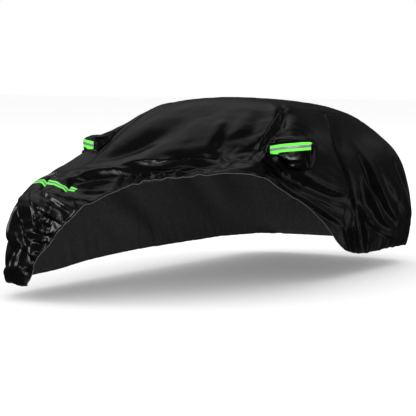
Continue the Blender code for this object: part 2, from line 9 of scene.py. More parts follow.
import bmesh
import bpy
import numpy as np
from mathutils import Euler, Matrix, Vector
from mathutils.kdtree import KDTree


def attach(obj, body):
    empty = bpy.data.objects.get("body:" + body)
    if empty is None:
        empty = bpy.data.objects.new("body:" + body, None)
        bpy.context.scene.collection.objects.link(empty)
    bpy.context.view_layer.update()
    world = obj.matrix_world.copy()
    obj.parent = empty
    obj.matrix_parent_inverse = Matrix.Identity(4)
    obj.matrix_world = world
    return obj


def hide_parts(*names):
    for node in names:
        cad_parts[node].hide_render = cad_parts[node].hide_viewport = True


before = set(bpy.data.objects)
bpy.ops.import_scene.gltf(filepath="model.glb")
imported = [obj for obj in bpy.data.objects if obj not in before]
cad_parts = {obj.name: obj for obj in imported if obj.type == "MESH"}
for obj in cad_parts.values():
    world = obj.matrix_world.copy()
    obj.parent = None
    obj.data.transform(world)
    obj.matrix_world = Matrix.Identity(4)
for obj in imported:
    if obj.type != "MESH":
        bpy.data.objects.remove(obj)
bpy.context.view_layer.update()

# ---------------------------------------------------------------- sizes
CLOTH = 0.0020
TAPE_THICKNESS = 0.0008
TAPE_LIFT = 0.0006           # from the cloth to the underside of a tape
STRIP_LIFT = 0.0018          # and to the underside of its strip
TAPE_WIDTH = 0.062
STRIP_WIDTH = 0.020
HEM_DEPTH = 0.026            # the channel that holds the elastic
EDGE_ROLL = 0.0032           # the radius of the rolled edge
STITCH_PITCH = 0.0070
STITCH_LENGTH = 0.0045
STITCH_THREAD = 0.0006
STITCH_HEIGHT = 2.5          # to its thread's width
STITCH_HEART = -0.9          # the height that the stitches face away from, below the roof seat
SEAM_INSET = 0.005           # from a seam to the stitches beside it
ROOF_SEAT = np.array((0.0, 0.30, 1.467))     # the origin, from mid wheelbase and the ground
HEART = np.array((0.0, 0.0, 0.8))            # a place inside the cover
CORNER_HEART = np.array((-0.3, -1.2, 0.2))   # a place below the front right corner
FINE = 6                     # fine cells to a coarse one, each way

# The taut shape, the same as the solids': one row for each section from the front hem over the top
# to the rear hem, with the middle of the centre panel, its seam, the widest line and the hem.
# Columns: name, y mid, z mid, x seam, y seam, z seam, x belt, y belt, z belt, x hem, y hem, z hem.
SECTIONS = (
    ("front_hem",  -2.11, 0.13, 0.34, -2.10, 0.13, 0.40, -2.09, 0.13, 0.46, -2.08, 0.12),
    ("bumper",     -2.14, 0.45, 0.34, -2.12, 0.45, 0.58, -2.08, 0.38, 0.76, -2.00, 0.11),
    ("lip",        -2.10, 0.71, 0.38, -2.06, 0.71, 0.76, -1.94, 0.60, 0.88, -1.79, 0.11),
    ("bonnet",     -1.78, 0.83, 0.48, -1.76, 0.85, 0.84, -1.67, 0.75, 0.92, -1.52, 0.11),
    ("wheel",      -1.36, 0.93, 0.58, -1.34, 0.93, 0.92, -1.27, 0.83, 0.92, -1.16, 0.12),
    ("cowl",       -0.98, 1.02, 0.68, -0.90, 1.03, 0.92, -0.86, 0.95, 0.92, -0.80, 0.15),
    ("screen",     -0.58, 1.29, 0.65, -0.50, 1.26, 0.93, -0.50, 1.07, 0.91, -0.42, 0.17),
    ("roof_front", -0.20, 1.46, 0.60, -0.13, 1.42, 0.91, -0.06, 1.05, 0.90, -0.06, 0.18),
    ("roof_mid",    0.30, 1.47, 0.58,  0.30, 1.37, 0.91,  0.30, 0.98, 0.90,  0.34, 0.18),
    ("roof_rear",   0.90, 1.43, 0.58,  0.84, 1.32, 0.90,  0.80, 0.96, 0.88,  0.86, 0.18),
    ("tail_top",    1.42, 1.36, 0.53,  1.35, 1.25, 0.87,  1.21, 0.94, 0.87,  1.28, 0.18),
    ("tail_glass",  1.73, 1.12, 0.48,  1.66, 1.08, 0.83,  1.51, 0.84, 0.84,  1.58, 0.17),
    ("tail_low",    1.92, 0.78, 0.46,  1.88, 0.76, 0.74,  1.78, 0.64, 0.75,  1.76, 0.17),
    ("rear_hem",    1.91, 0.17, 0.44,  1.88, 0.17, 0.53,  1.86, 0.17, 0.62,  1.84, 0.17),
)
LAST = len(SECTIONS) - 1
SEAM, BELT, HEM = 1.0, 2.0, 3.0
CROWN_POWER = 2.2
SEAM_ROUNDING = 0.4
LOWER_FULLNESS = 0.75
HEM_TUCK = 0.22
HEM_STEP = 0.05

# Across, along: across is 0 in the middle, 1 at a seam, 2 at the belt and 3 at the hem, negative on
# the right side, and along counts the rows of SECTIONS.
FREE_EDGE = (
    (-3.00, 0.06), (-2.40, 0.19), (-1.80, 0.35), (-1.30, 0.56), (-1.00, 0.75), (-0.58, 1.23),
    (-0.20, 1.68), (0.00, 1.98), (0.13, 2.30), (0.20, 2.85), (0.31, 3.20), (0.56, 3.50),
    (0.88, 3.84), (1.26, 4.12), (1.60, 4.22), (1.87, 4.38), (2.16, 4.84), (2.35, 5.42),
    (2.51, 6.25), (2.71, 7.08), (2.87, 7.72), (3.00, 8.20),
)
UPRIGHT_SEAM = (
    (1.00, 8.46), (1.31, 8.22), (1.55, 7.94), (1.85, 7.66), (2.02, 7.76), (2.18, 7.94),
    (2.38, 8.04), (2.56, 8.18), (2.71, 8.32), (2.86, 8.44), (3.00, 8.52),
)
TAPE_LINE = (
    (-3.00, 3.26), (-1.75, 3.16), (-1.35, 3.10), (-1.00, 3.02), (-0.75, 2.92), (-0.50, 2.82),
    (-0.20, 2.92), (0.20, 3.50), (1.00, 4.60),
)
SILL_CORNER = (2.90, 7.86)

# The main folds, the same as the solids'. Width and rise are in metres, a negative rise is a trough.
# Sharp runs from 0, round, to 1, a crease; tip is how far the crest leans over to one side.
# Columns: name, width, rise, sharp, tip, path.
FOLDS = (
    ("door edge", 0.075, 0.026, 0.3, 0.3,
     ((0.91, -1.07, 0.92), (0.94, -0.60, 0.75), (0.92, 0.13, 0.48), (0.91, 0.30, 0.36))),
    ("door hollow", 0.070, -0.022, 0.2, 0.0,
     ((0.91, -0.95, 0.90), (0.94, -0.50, 0.75), (0.92, 0.22, 0.47))),
    ("door middle", 0.070, 0.028, 0.4, 0.4,
     ((0.92, -0.90, 0.93), (0.94, -0.54, 0.80), (0.92, 0.00, 0.62), (0.92, 0.28, 0.52))),
    ("door shadow", 0.070, -0.024, 0.2, 0.0,
     ((0.93, -0.80, 0.92), (0.94, -0.45, 0.84), (0.93, 0.24, 0.61))),
    ("door upper", 0.080, 0.030, 0.4, 0.4, ((0.93, -0.70, 0.95), (0.94, -0.38, 0.84), (0.93, 0.26, 0.69))),
    ("pillar", 0.060, -0.020, 0.4, 0.0, ((0.62, -0.08, 1.37), (0.66, -0.55, 1.15), (0.69, -0.88, 1.03))),
    ("upright run", 0.060, -0.014, 0.3, 0.0,
     ((0.62, 0.50, 1.33), (0.89, 0.17, 1.06), (0.93, 0.33, 0.70), (0.90, 0.58, 0.24))),
    ("quarter one", 0.080, 0.030, 0.4, 0.2,
     ((0.88, 0.58, 1.04), (0.91, 0.74, 0.90), (0.92, 0.90, 0.70), (0.90, 1.25, 0.41))),
    ("quarter gap", 0.070, -0.024, 0.2, 0.0, ((0.91, 0.62, 0.92), (0.92, 0.78, 0.72), (0.90, 1.16, 0.42))),
    ("quarter two", 0.075, 0.028, 0.4, 0.2, ((0.92, 0.58, 0.81), (0.92, 0.68, 0.66), (0.90, 1.26, 0.33))),
    ("quarter low", 0.070, -0.022, 0.2, 0.0, ((0.92, 0.50, 0.70), (0.91, 0.66, 0.50), (0.89, 1.15, 0.30))),
    ("quarter three", 0.070, 0.026, 0.4, 0.2,
     ((0.93, 0.38, 0.66), (0.92, 0.50, 0.55), (0.90, 1.06, 0.31), (0.89, 1.38, 0.24))),
    ("quarter back", 0.090, 0.028, 0.3, 0.0, ((0.91, 0.97, 0.80), (0.90, 1.23, 0.59), (0.88, 1.53, 0.37))),
    ("tail swag", 0.100, 0.026, 0.2, 0.0, ((0.70, 1.30, 1.12), (0.84, 1.45, 0.85), (0.86, 1.55, 0.50))),
    ("hem roll", 0.070, 0.032, 0.3, 0.6,
     ((0.14, -1.74, 0.84), (0.30, -1.52, 0.89), (0.50, -1.35, 0.93), (0.70, -1.21, 0.95),
      (0.90, -1.06, 0.93))),
    ("bonnet dark", 0.090, -0.026, 0.2, 0.0,
     ((-0.41, -1.67, 0.86), (-0.23, -1.38, 0.92), (0.12, -1.25, 0.95), (0.62, -1.12, 0.97))),
    ("bonnet roll", 0.090, 0.050, 0.4, 0.7,
     ((-0.36, -1.32, 0.93), (-0.05, -1.14, 0.98), (0.34, -1.06, 1.00), (0.58, -1.02, 1.00))),
    ("screen foot", 0.080, -0.030, 0.3, 0.0,
     ((-0.40, -1.14, 0.97), (0.00, -0.98, 1.02), (0.27, -0.90, 1.05), (0.43, -0.84, 1.07),
      (0.68, -0.85, 1.05))),
    ("wing pillow", 0.110, 0.040, 0.2, 0.2, ((0.62, -1.06, 0.98), (0.86, -1.00, 0.96))),
    ("bonnet patch", 0.130, 0.030, 0.2, 0.4,
     ((-0.66, -1.46, 0.88), (-0.40, -1.42, 0.91), (-0.16, -1.30, 0.94))),
    ("bonnet front", 0.090, 0.026, 0.2, 0.4, ((-0.30, -1.72, 0.85), (0.05, -1.60, 0.87))),
    ("screen sweep", 0.150, 0.018, 0.1, 0.0,
     ((-0.78, -1.20, 0.93), (-0.52, -0.70, 1.16), (-0.14, -0.30, 1.42))),
    ("screen valley", 0.120, -0.022, 0.1, 0.0,
     ((-0.60, -1.02, 0.99), (-0.24, -0.72, 1.18), (-0.05, -0.50, 1.33))),
    ("screen crease", 0.070, -0.020, 0.3, 0.0, ((0.32, -0.66, 1.22), (0.42, -0.90, 1.05))),
    ("tape ridge", 0.090, 0.020, 0.3, 0.2,
     ((-0.78, -1.54, 0.87), (-0.65, -1.60, 0.88), (-0.50, -1.66, 0.87), (-0.36, -1.72, 0.85))),
    ("corner upper", 0.080, 0.030, 0.3, 0.4,
     ((-0.54, -1.82, 0.81), (-0.30, -2.02, 0.74), (-0.04, -2.10, 0.70))),
    ("corner hollow", 0.070, -0.026, 0.2, 0.0,
     ((-0.62, -1.82, 0.79), (-0.36, -2.05, 0.68), (-0.10, -2.13, 0.63))),
    ("corner lower", 0.080, 0.030, 0.3, 0.4,
     ((-0.70, -1.80, 0.78), (-0.42, -2.06, 0.64), (-0.18, -2.14, 0.57))),
    ("corner facet", 0.090, -0.036, 0.4, 0.0,
     ((-0.52, -2.02, 0.62), (-0.36, -2.11, 0.54), (-0.24, -2.13, 0.48))),
    ("corner inner", 0.075, 0.036, 0.4, 0.2,
     ((-0.64, -1.98, 0.70), (-0.50, -2.08, 0.55), (-0.45, -2.10, 0.44), (-0.40, -2.11, 0.30))),
    ("corner dark", 0.070, -0.034, 0.3, 0.0,
     ((-0.66, -2.00, 0.62), (-0.56, -2.07, 0.45), (-0.50, -2.08, 0.24))),
    ("corner outer", 0.080, 0.036, 0.4, 0.2,
     ((-0.70, -1.98, 0.62), (-0.63, -2.05, 0.42), (-0.58, -2.07, 0.20))),
    ("corner side", 0.110, -0.030, 0.2, 0.0,
     ((-0.84, -1.82, 0.66), (-0.78, -1.98, 0.36), (-0.74, -2.02, 0.18))),
    ("right wing", 0.130, 0.024, 0.2, 0.0,
     ((-0.92, -0.95, 0.92), (-0.94, -1.40, 0.60), (-0.92, -1.75, 0.34))),
    ("right door", 0.120, 0.026, 0.2, 0.0,
     ((-0.93, -0.55, 0.92), (-0.93, -0.05, 0.66), (-0.91, 0.45, 0.34))),
    ("right door low", 0.110, -0.022, 0.2, 0.0,
     ((-0.93, -0.70, 0.80), (-0.93, -0.25, 0.52), (-0.91, 0.20, 0.28))),
    ("right quarter", 0.120, 0.028, 0.2, 0.0,
     ((-0.90, 0.62, 0.98), (-0.92, 0.95, 0.70), (-0.89, 1.45, 0.36))),
    ("right tail", 0.120, -0.022, 0.2, 0.0,
     ((-0.91, 0.95, 0.92), (-0.91, 1.25, 0.66), (-0.87, 1.60, 0.34))),
    ("tail left", 0.140, 0.020, 0.2, 0.0, ((0.30, 1.72, 1.14), (0.36, 1.90, 0.74), (0.44, 1.90, 0.30))),
    ("tail right", 0.140, 0.020, 0.2, 0.0, ((-0.30, 1.72, 1.14), (-0.38, 1.90, 0.74), (-0.46, 1.90, 0.30))),
    ("tail middle", 0.160, -0.018, 0.2, 0.0, ((0.00, 1.74, 1.12), (-0.04, 1.92, 0.70), (0.02, 1.91, 0.30))),
)

# Finer creases, on their places on the cover: across, along.
# Columns: name, width, rise, sharp, tip, path.
CREASES = (
    # front right corner
    ("line one", 0.026, 0.014, 0.8, 0.5, ((-1.00, 2.53), (-0.66, 2.50), (-0.03, 2.41))),
    ("line one gap", 0.024, -0.014, 0.5, 0.0, ((-1.02, 2.43), (-0.66, 2.40), (-0.03, 2.32))),
    ("line two", 0.028, 0.016, 0.8, 0.5, ((-1.17, 2.61), (-0.70, 2.32), (-0.34, 2.10), (-0.09, 1.93))),
    ("line two gap", 0.026, -0.016, 0.5, 0.0, ((-1.17, 2.50), (-0.74, 2.22), (-0.38, 2.00), (-0.12, 1.84))),
    ("line three", 0.030, 0.018, 0.8, 0.4, ((-1.40, 2.50), (-1.15, 2.04), (-0.78, 1.83), (-0.36, 1.58))),
    ("line three gap", 0.030, -0.020, 0.5, 0.0,
     ((-1.30, 2.20), (-1.14, 1.94), (-0.80, 1.73), (-0.44, 1.50))),
    ("facet left", 0.034, 0.022, 0.8, 0.0, ((-1.15, 1.80), (-1.12, 1.60), (-1.16, 1.42))),
    ("facet floor", 0.060, -0.030, 0.2, 0.0, ((-1.02, 1.66), (-0.86, 1.50), (-0.70, 1.42))),
    ("facet foot", 0.034, 0.020, 0.7, 0.3, ((-1.17, 1.36), (-0.82, 1.28), (-0.54, 1.34))),
    ("hem fold one", 0.026, -0.014, 0.6, 0.0, ((-1.40, 1.33), (-1.00, 1.18), (-0.68, 1.20))),
    ("hem fold two", 0.026, 0.014, 0.7, 0.3, ((-1.36, 1.18), (-1.05, 1.08), (-0.78, 1.08))),
    ("hem fold three", 0.030, -0.018, 0.5, 0.0, ((-1.35, 1.05), (-1.10, 0.97), (-0.90, 0.95))),
    ("hem patch", 0.040, 0.020, 0.6, 0.2, ((-1.80, 0.80), (-1.40, 0.74), (-1.17, 0.76))),
    ("hem fold four", 0.026, -0.014, 0.6, 0.0, ((-1.70, 0.66), (-1.40, 0.62), (-1.24, 0.64))),
    ("hem fold five", 0.024, 0.012, 0.7, 0.0, ((-1.80, 0.52), (-1.56, 0.50), (-1.40, 0.54))),
    ("ridge a", 0.034, 0.026, 0.8, 0.2,
     ((-1.56, 2.66), (-1.54, 2.08), (-1.47, 1.68), (-1.43, 1.42), (-1.35, 1.09), (-1.20, 0.84))),
    ("ridge a gap", 0.036, -0.026, 0.4, 0.0, ((-1.66, 2.20), (-1.64, 1.70), (-1.60, 1.35), (-1.56, 1.00))),
    ("fan one", 0.026, 0.014, 0.8, 0.2, ((-1.50, 2.74), (-1.32, 2.36), (-1.20, 2.06), (-1.18, 1.66))),
    ("fan two", 0.026, -0.016, 0.6, 0.0, ((-1.56, 2.60), (-1.40, 2.26), (-1.30, 1.90), (-1.28, 1.55))),
    ("valley e1", 0.044, -0.034, 0.4, 0.0, ((-1.72, 1.90), (-1.75, 1.44), (-2.00, 1.07), (-2.46, 0.66))),
    ("ridge e2", 0.030, 0.024, 0.8, 0.0, ((-1.80, 1.60), (-1.87, 1.40), (-2.02, 0.95), (-2.30, 0.55))),
    ("valley e3", 0.040, -0.028, 0.4, 0.0, ((-1.74, 1.30), (-1.80, 0.92), (-1.66, 0.60))),
    ("outline ridge", 0.050, 0.026, 0.5, 0.0, ((-1.70, 2.15), (-1.98, 1.72), (-2.30, 1.38))),
    ("outline notch", 0.045, -0.040, 0.5, 0.0, ((-2.05, 1.10), (-2.40, 1.22), (-2.75, 1.60))),
    ("lobe crest", 0.060, 0.030, 0.3, 0.0, ((-2.20, 0.66), (-2.50, 0.86), (-2.80, 1.20))),
    ("tape fold left", 0.020, -0.030, 0.6, 0.0, ((-1.28, 2.60), (-1.33, 3.05), (-1.30, 3.50))),
    ("tape fold low", 0.022, -0.028, 0.6, 0.0, ((-0.70, 2.66), (-0.72, 3.00), (-0.80, 3.34))),
    # bonnet
    ("patch one lip", 0.032, 0.030, 0.9, 0.8,
     ((-0.88, 3.36), (-0.74, 3.62), (-0.58, 3.86), (-0.40, 4.06), (-0.10, 4.26))),
    ("patch one slit", 0.018, -0.014, 0.7, 0.0, ((-0.90, 3.66), (-0.80, 3.70))),
    ("under the lip", 0.048, -0.052, 0.4, 0.0,
     ((-0.80, 3.18), (-0.63, 3.52), (-0.42, 3.82), (-0.18, 4.06), (0.20, 4.28), (0.46, 4.42))),
    ("short upright", 0.016, -0.010, 0.8, 0.0, ((-0.56, 4.34), (-0.43, 3.98))),
    ("patch two top", 0.032, 0.028, 0.6, 0.6, ((-0.62, 2.98), (-0.36, 3.12), (-0.06, 3.36))),
    ("patch two foot", 0.030, -0.026, 0.5, 0.0, ((-0.40, 2.76), (-0.08, 2.82), (0.10, 2.94))),
    ("gather a", 0.022, 0.026, 0.8, 0.0, ((0.16, 2.98), (0.05, 3.30), (-0.14, 3.72))),
    ("gather a gap", 0.020, -0.026, 0.5, 0.0, ((0.21, 3.04), (0.10, 3.36), (-0.10, 3.84))),
    ("gather b", 0.022, 0.027, 0.8, 0.0, ((0.26, 3.10), (0.16, 3.44), (-0.06, 3.94))),
    ("gather b gap", 0.020, -0.026, 0.5, 0.0, ((0.30, 3.15), (0.20, 3.50), (-0.02, 4.02))),
    ("gather c", 0.024, 0.026, 0.8, 0.0, ((0.34, 3.23), (0.24, 3.60), (0.02, 4.10))),
    ("gather c gap", 0.022, -0.024, 0.5, 0.0, ((0.39, 3.29), (0.29, 3.68), (0.08, 4.16))),
    ("gather d", 0.024, 0.024, 0.8, 0.0, ((0.44, 3.36), (0.33, 3.78), (0.14, 4.22))),
    ("gather e", 0.026, 0.022, 0.7, 0.0, ((0.56, 3.52), (0.45, 3.92), (0.28, 4.34))),
    ("gather f", 0.028, 0.018, 0.7, 0.0, ((0.70, 3.68), (0.60, 4.05), (0.46, 4.46))),
    ("crumple crest", 0.034, 0.038, 0.9, 0.8,
     ((-0.34, 4.34), (-0.06, 4.60), (0.14, 4.78), (0.36, 4.92), (0.60, 5.00))),
    ("crumple streak", 0.028, 0.026, 0.7, 0.6, ((0.02, 4.86), (0.25, 4.98), (0.44, 5.06))),
    ("crumple floor", 0.050, -0.055, 0.4, 0.0, ((-0.10, 4.44), (0.20, 4.62), (0.50, 4.76), (0.80, 4.80))),
    ("crumple box", 0.030, -0.040, 0.6, 0.0, ((0.36, 5.16), (0.50, 5.20), (0.62, 5.22))),
    ("heap crest", 0.055, 0.034, 0.7, 0.8, ((0.20, 3.40), (0.40, 3.78), (0.62, 4.02), (0.90, 4.30))),
    ("heap front", 0.045, -0.030, 0.4, 0.0, ((0.34, 3.42), (0.60, 3.72), (0.92, 4.04))),
    ("sharp corner", 0.030, 0.036, 0.9, 0.5, ((0.60, 5.36), (0.70, 5.10), (0.84, 4.82))),
    ("patch three", 0.060, 0.024, 0.3, 0.3, ((0.92, 4.76), (1.16, 4.74), (1.50, 4.72))),
    ("patch three cut", 0.028, -0.034, 0.7, 0.0, ((0.90, 5.08), (1.16, 4.84), (1.44, 4.60))),
    ("screen line", 0.026, -0.016, 0.6, 0.0,
     ((-0.92, 4.30), (-0.50, 4.50), (-0.20, 4.70), (0.05, 5.05), (0.36, 5.18), (0.60, 5.32))),
    # windscreen
    ("screen upright", 0.050, -0.020, 0.4, 0.0, ((0.46, 5.82), (0.50, 5.56), (0.53, 5.30))),
    ("upright beside", 0.050, 0.014, 0.3, 0.0, ((0.38, 6.20), (0.44, 5.70), (0.46, 5.36))),
    ("screen v left", 0.070, 0.012, 0.3, 0.0, ((0.62, 6.50), (0.66, 6.00), (0.60, 5.50))),
    ("screen v right", 0.060, -0.012, 0.3, 0.0, ((0.78, 6.60), (0.84, 6.00), (0.84, 5.50))),
    ("screen trough", 0.060, -0.022, 0.3, 0.0, ((-0.95, 4.72), (-0.68, 5.20), (-0.36, 5.62))),
    # pillar and mirror root
    ("pillar crease", 0.030, -0.024, 0.6, 0.0,
     ((0.86, 7.20), (1.12, 6.60), (1.24, 6.16), (1.18, 5.84), (1.08, 5.50), (0.84, 5.24))),
    ("pillar ridge", 0.034, 0.018, 0.5, 0.3, ((0.80, 7.00), (1.00, 6.40), (1.04, 5.92), (0.94, 5.56))),
    ("mirror root", 0.030, 0.020, 0.7, 0.2, ((1.26, 5.60), (1.36, 5.10), (1.62, 4.66))),
    ("mirror root gap", 0.028, -0.018, 0.5, 0.0, ((1.18, 5.40), (1.30, 4.98), (1.50, 4.64))),
    # seams
    ("upright seam", 0.022, -0.016, 0.7, 0.0, UPRIGHT_SEAM),
    ("left rail seam", 0.020, -0.008, 0.7, 0.0, tuple((SEAM, 5.0 + 0.5 * k) for k in range(19))),
    ("right rail seam", 0.020, -0.008, 0.7, 0.0, tuple((-SEAM, 4.0 + 0.5 * k) for k in range(21))),
    # left side
    ("door line one", 0.026, 0.024, 0.9, 0.5,
     ((1.88, 4.56), (2.08, 4.90), (2.29, 5.40), (2.46, 6.30), (2.61, 7.50))),
    ("door gap one", 0.036, -0.028, 0.5, 0.0,
     ((1.98, 4.74), (2.16, 5.00), (2.36, 5.60), (2.52, 6.40), (2.66, 7.44))),
    ("door line two", 0.026, 0.024, 0.9, 0.5, ((1.96, 4.80), (2.24, 5.46), (2.40, 6.40), (2.50, 7.60))),
    ("door gap two", 0.036, -0.028, 0.5, 0.0, ((2.04, 4.90), (2.26, 5.60), (2.44, 6.60), (2.55, 7.70))),
    ("door line three", 0.026, 0.024, 0.9, 0.5, ((2.12, 5.52), (2.26, 6.20), (2.33, 6.90), (2.36, 7.80))),
    ("door gap three", 0.036, -0.028, 0.4, 0.0, ((2.10, 5.30), (2.32, 6.10), (2.40, 6.90), (2.44, 7.86))),
    ("pleat one", 0.022, 0.018, 0.8, 0.0, ((2.66, 7.62), (2.80, 7.84), (2.93, 8.04))),
    ("pleat one gap", 0.020, -0.018, 0.5, 0.0, ((2.66, 7.78), (2.80, 7.96), (2.94, 8.14))),
    ("pleat two", 0.022, 0.018, 0.8, 0.0, ((2.62, 7.90), (2.78, 8.08), (2.95, 8.24))),
    ("pleat two gap", 0.020, -0.018, 0.5, 0.0, ((2.62, 8.02), (2.78, 8.20), (2.96, 8.34))),
    ("pleat three", 0.022, 0.018, 0.8, 0.0, ((2.50, 8.04), (2.76, 8.30), (2.97, 8.44))),
    ("pleat four gap", 0.026, -0.022, 0.5, 0.0, ((2.46, 8.22), (2.70, 8.46), (2.98, 8.62))),
    ("pleat four", 0.026, 0.020, 0.7, 0.0, ((2.46, 8.34), (2.70, 8.58), (2.98, 8.74))),
    ("quarter a", 0.027, 0.024, 0.7, 0.3,
     ((1.90, 8.56), (2.11, 8.80), (2.30, 9.05), (2.52, 9.45), (2.72, 10.10))),
    ("quarter a gap", 0.044, -0.026, 0.4, 0.0,
     ((1.98, 8.50), (2.18, 8.74), (2.38, 9.00), (2.58, 9.40), (2.76, 10.00))),
    ("quarter b", 0.027, 0.022, 0.7, 0.3, ((2.21, 8.50), (2.39, 8.66), (2.62, 9.16), (2.78, 9.86))),
    ("quarter b gap", 0.044, -0.024, 0.4, 0.0, ((2.30, 8.40), (2.46, 8.60), (2.68, 9.04), (2.83, 9.70))),
    ("quarter c", 0.030, 0.022, 0.6, 0.2, ((2.20, 9.26), (2.44, 9.80), (2.70, 10.80))),
    ("quarter c gap", 0.046, -0.022, 0.4, 0.0, ((2.10, 9.30), (2.36, 9.86), (2.62, 10.80))),
    ("quarter d", 0.026, 0.020, 0.7, 0.2,
     ((2.41, 8.13), (2.52, 8.32), (2.64, 8.70), (2.79, 9.43), (2.88, 10.23))),
    ("quarter d gap", 0.038, -0.020, 0.4, 0.0, ((2.50, 8.20), (2.60, 8.42), (2.74, 8.86), (2.86, 9.60))),
    ("quarter e", 0.027, 0.018, 0.6, 0.0, ((1.98, 8.98), (2.21, 9.39), (2.43, 9.92), (2.66, 10.60))),
    ("quarter f", 0.044, -0.018, 0.4, 0.0, ((1.90, 10.00), (2.20, 10.50), (2.56, 11.10))),
    ("quarter g", 0.030, 0.018, 0.5, 0.0, ((2.00, 10.40), (2.34, 10.90), (2.70, 11.50))),
)

# Crumpled patches. Each has its centre as (across, along), how far it reaches, the direction in which
# its creases run, the width of its facets and how high they stand.
# Columns: name, place, reach, stretch, size, rise.
CRUMPLES = (
    ("front corner", (-0.95, 1.85), 0.42, (0.75, 0.25, -0.60), 0.085, 0.012),
    ("corner foot", (-1.45, 1.20), 0.38, (0.50, 0.30, -0.80), 0.085, 0.012),
    ("lobe", (-2.00, 0.90), 0.45, (0.20, 0.50, -0.85), 0.090, 0.012),
    ("bonnet patch", (-0.50, 3.40), 0.40, (0.90, 0.40, 0.10), 0.110, 0.009),
    ("bonnet band", (0.30, 4.40), 0.34, (0.95, 0.30, 0.05), 0.095, 0.042),
    ("screen foot", (0.80, 4.95), 0.32, (0.80, -0.50, 0.30), 0.090, 0.016),
    ("mirror root", (1.45, 5.00), 0.35, (0.60, 0.50, -0.60), 0.080, 0.014),
    ("door folds", (2.20, 5.60), 0.55, (0.10, 0.80, -0.60), 0.085, 0.014),
    ("pleats", (2.75, 7.90), 0.30, (0.10, 0.50, -0.85), 0.070, 0.008),
    ("quarter", (2.50, 9.30), 0.60, (0.10, 0.70, -0.70), 0.110, 0.008),
    ("screen", (0.00, 6.00), 0.90, (0.50, 0.60, 0.50), 0.150, 0.0025),
    ("right side", (-2.20, 6.00), 1.10, (0.00, 0.80, -0.60), 0.120, 0.007),
    ("tail", (0.00, 12.50), 1.00, (0.30, 0.50, -0.80), 0.120, 0.006),
)
FACET_STRETCH = 0.6          # how far a patch's facets are drawn out along its creases
FULL_CREASE = 0.012          # the rise of a patch that counts as wholly creased
CREASE_SPREAD = 1.2          # how far its gloss reaches, to the patch's own reach
PATCH_END = 0.03             # a patch ends where its height falls below this share
FINE_SIZE = 0.45             # the small facets, to the patch's own
FINE_SHARE = 0.4
WARP_SIZE = 1.6              # how wide the bends of a patch's creases are, to its facets
WARP_SHARE = 0.4             # and how far they shift them
EDGE_CALM = 0.10             # the crumples die down this close to the border
EDGE_REST = 0.3              # the share of their height that is left there
CORNER_CALM = 0.12           # the gathers die down this close to the corner where the border starts
CORNER_TUCK = (-0.022, -0.014, 0.006)   # how far that corner's tip is tucked back under the hem
TUCK_REACH = 0.035
SKEW = np.array(Euler((0.5, 0.9, 0.3)).to_matrix())   # turns the facets off the axes
WARP_SEED = 70
BROAD_SEED = 90
FINE_SEED = 110

# Grid of the panels, in coarse cells as the solids have it.
EDGE_ROWS = 12
TAPE_ROWS = 3
SCREEN_ROWS = 22
REAR_ROWS = 28
FRONT_ROWS = EDGE_ROWS + TAPE_ROWS + SCREEN_ROWS
CENTRE_COLUMNS = 16
RIGHT_COLUMNS = 12
LEFT_COLUMNS = 14
EDGE_CROWDING = 1.5          # how much closer the fine rows lie at the hem
REAR_CROWDING = 1.15         # and at the tail's hem
ROW_PROBE = 0.05             # half the stretch of rows over which a row's length is measured
MERGE = 0.00005              # points closer than this are one
RANDOM_CURVE = 4096          # how many values a random curve holds
RANDOM_BOX = 32              # and a random box, each way
EVEN_COLUMNS = 8             # the columns below the seam that stay even, over the pocket
TAPE_ON_SIDE = 4             # the columns under the corner tape, each side of the seam
TAPE_ON_CENTRE = 4

# Mirror pockets: the hole in the side panel's coarse grid, then rings from the rim to the end.
# Columns: name, side, first row, first column, rows, columns, turn, z tape, climb, rings.
# Columns: x front, x back, y front, y back, z low, z high.
POCKETS = (
    ("left", 1, 17, 1, 5, 5, 1, 1.112, 0.080, (
        (0.795, 0.930, -0.797, -0.470, 1.065, 1.198),
        (0.825, 0.940, -0.796, -0.465, 1.045, 1.204),
        (0.900, 0.965, -0.786, -0.455, 1.000, 1.210),
        (0.965, 1.005, -0.764, -0.450, 0.950, 1.207),
        (1.025, 1.038, -0.732, -0.458, 0.943, 1.195),
        (1.062, 1.064, -0.700, -0.480, 0.965, 1.180),
        (1.081, 1.080, -0.664, -0.515, 1.010, 1.166),
        (1.088, 1.086, -0.632, -0.545, 1.045, 1.156))),
    ("right", -1, 23, 1, 4, 6, 2, 1.106, 0.030, (
        (0.770, 0.920, -0.818, -0.480, 1.030, 1.170),
        (0.800, 0.928, -0.816, -0.475, 1.015, 1.174),
        (0.870, 0.942, -0.796, -0.465, 0.985, 1.176),
        (0.920, 0.958, -0.765, -0.455, 0.955, 1.173),
        (0.955, 0.973, -0.737, -0.458, 0.950, 1.164),
        (0.980, 0.988, -0.708, -0.480, 0.970, 1.152),
        (0.995, 0.997, -0.672, -0.515, 1.000, 1.142),
        (1.002, 1.002, -0.642, -0.545, 1.035, 1.134))),
)
POCKET_CRUMPLE = 0.004        # how high the facets of a pocket's cloth stand
POCKET_DROOP = 0.016          # how far the root end of a pocket's tape hangs below its line

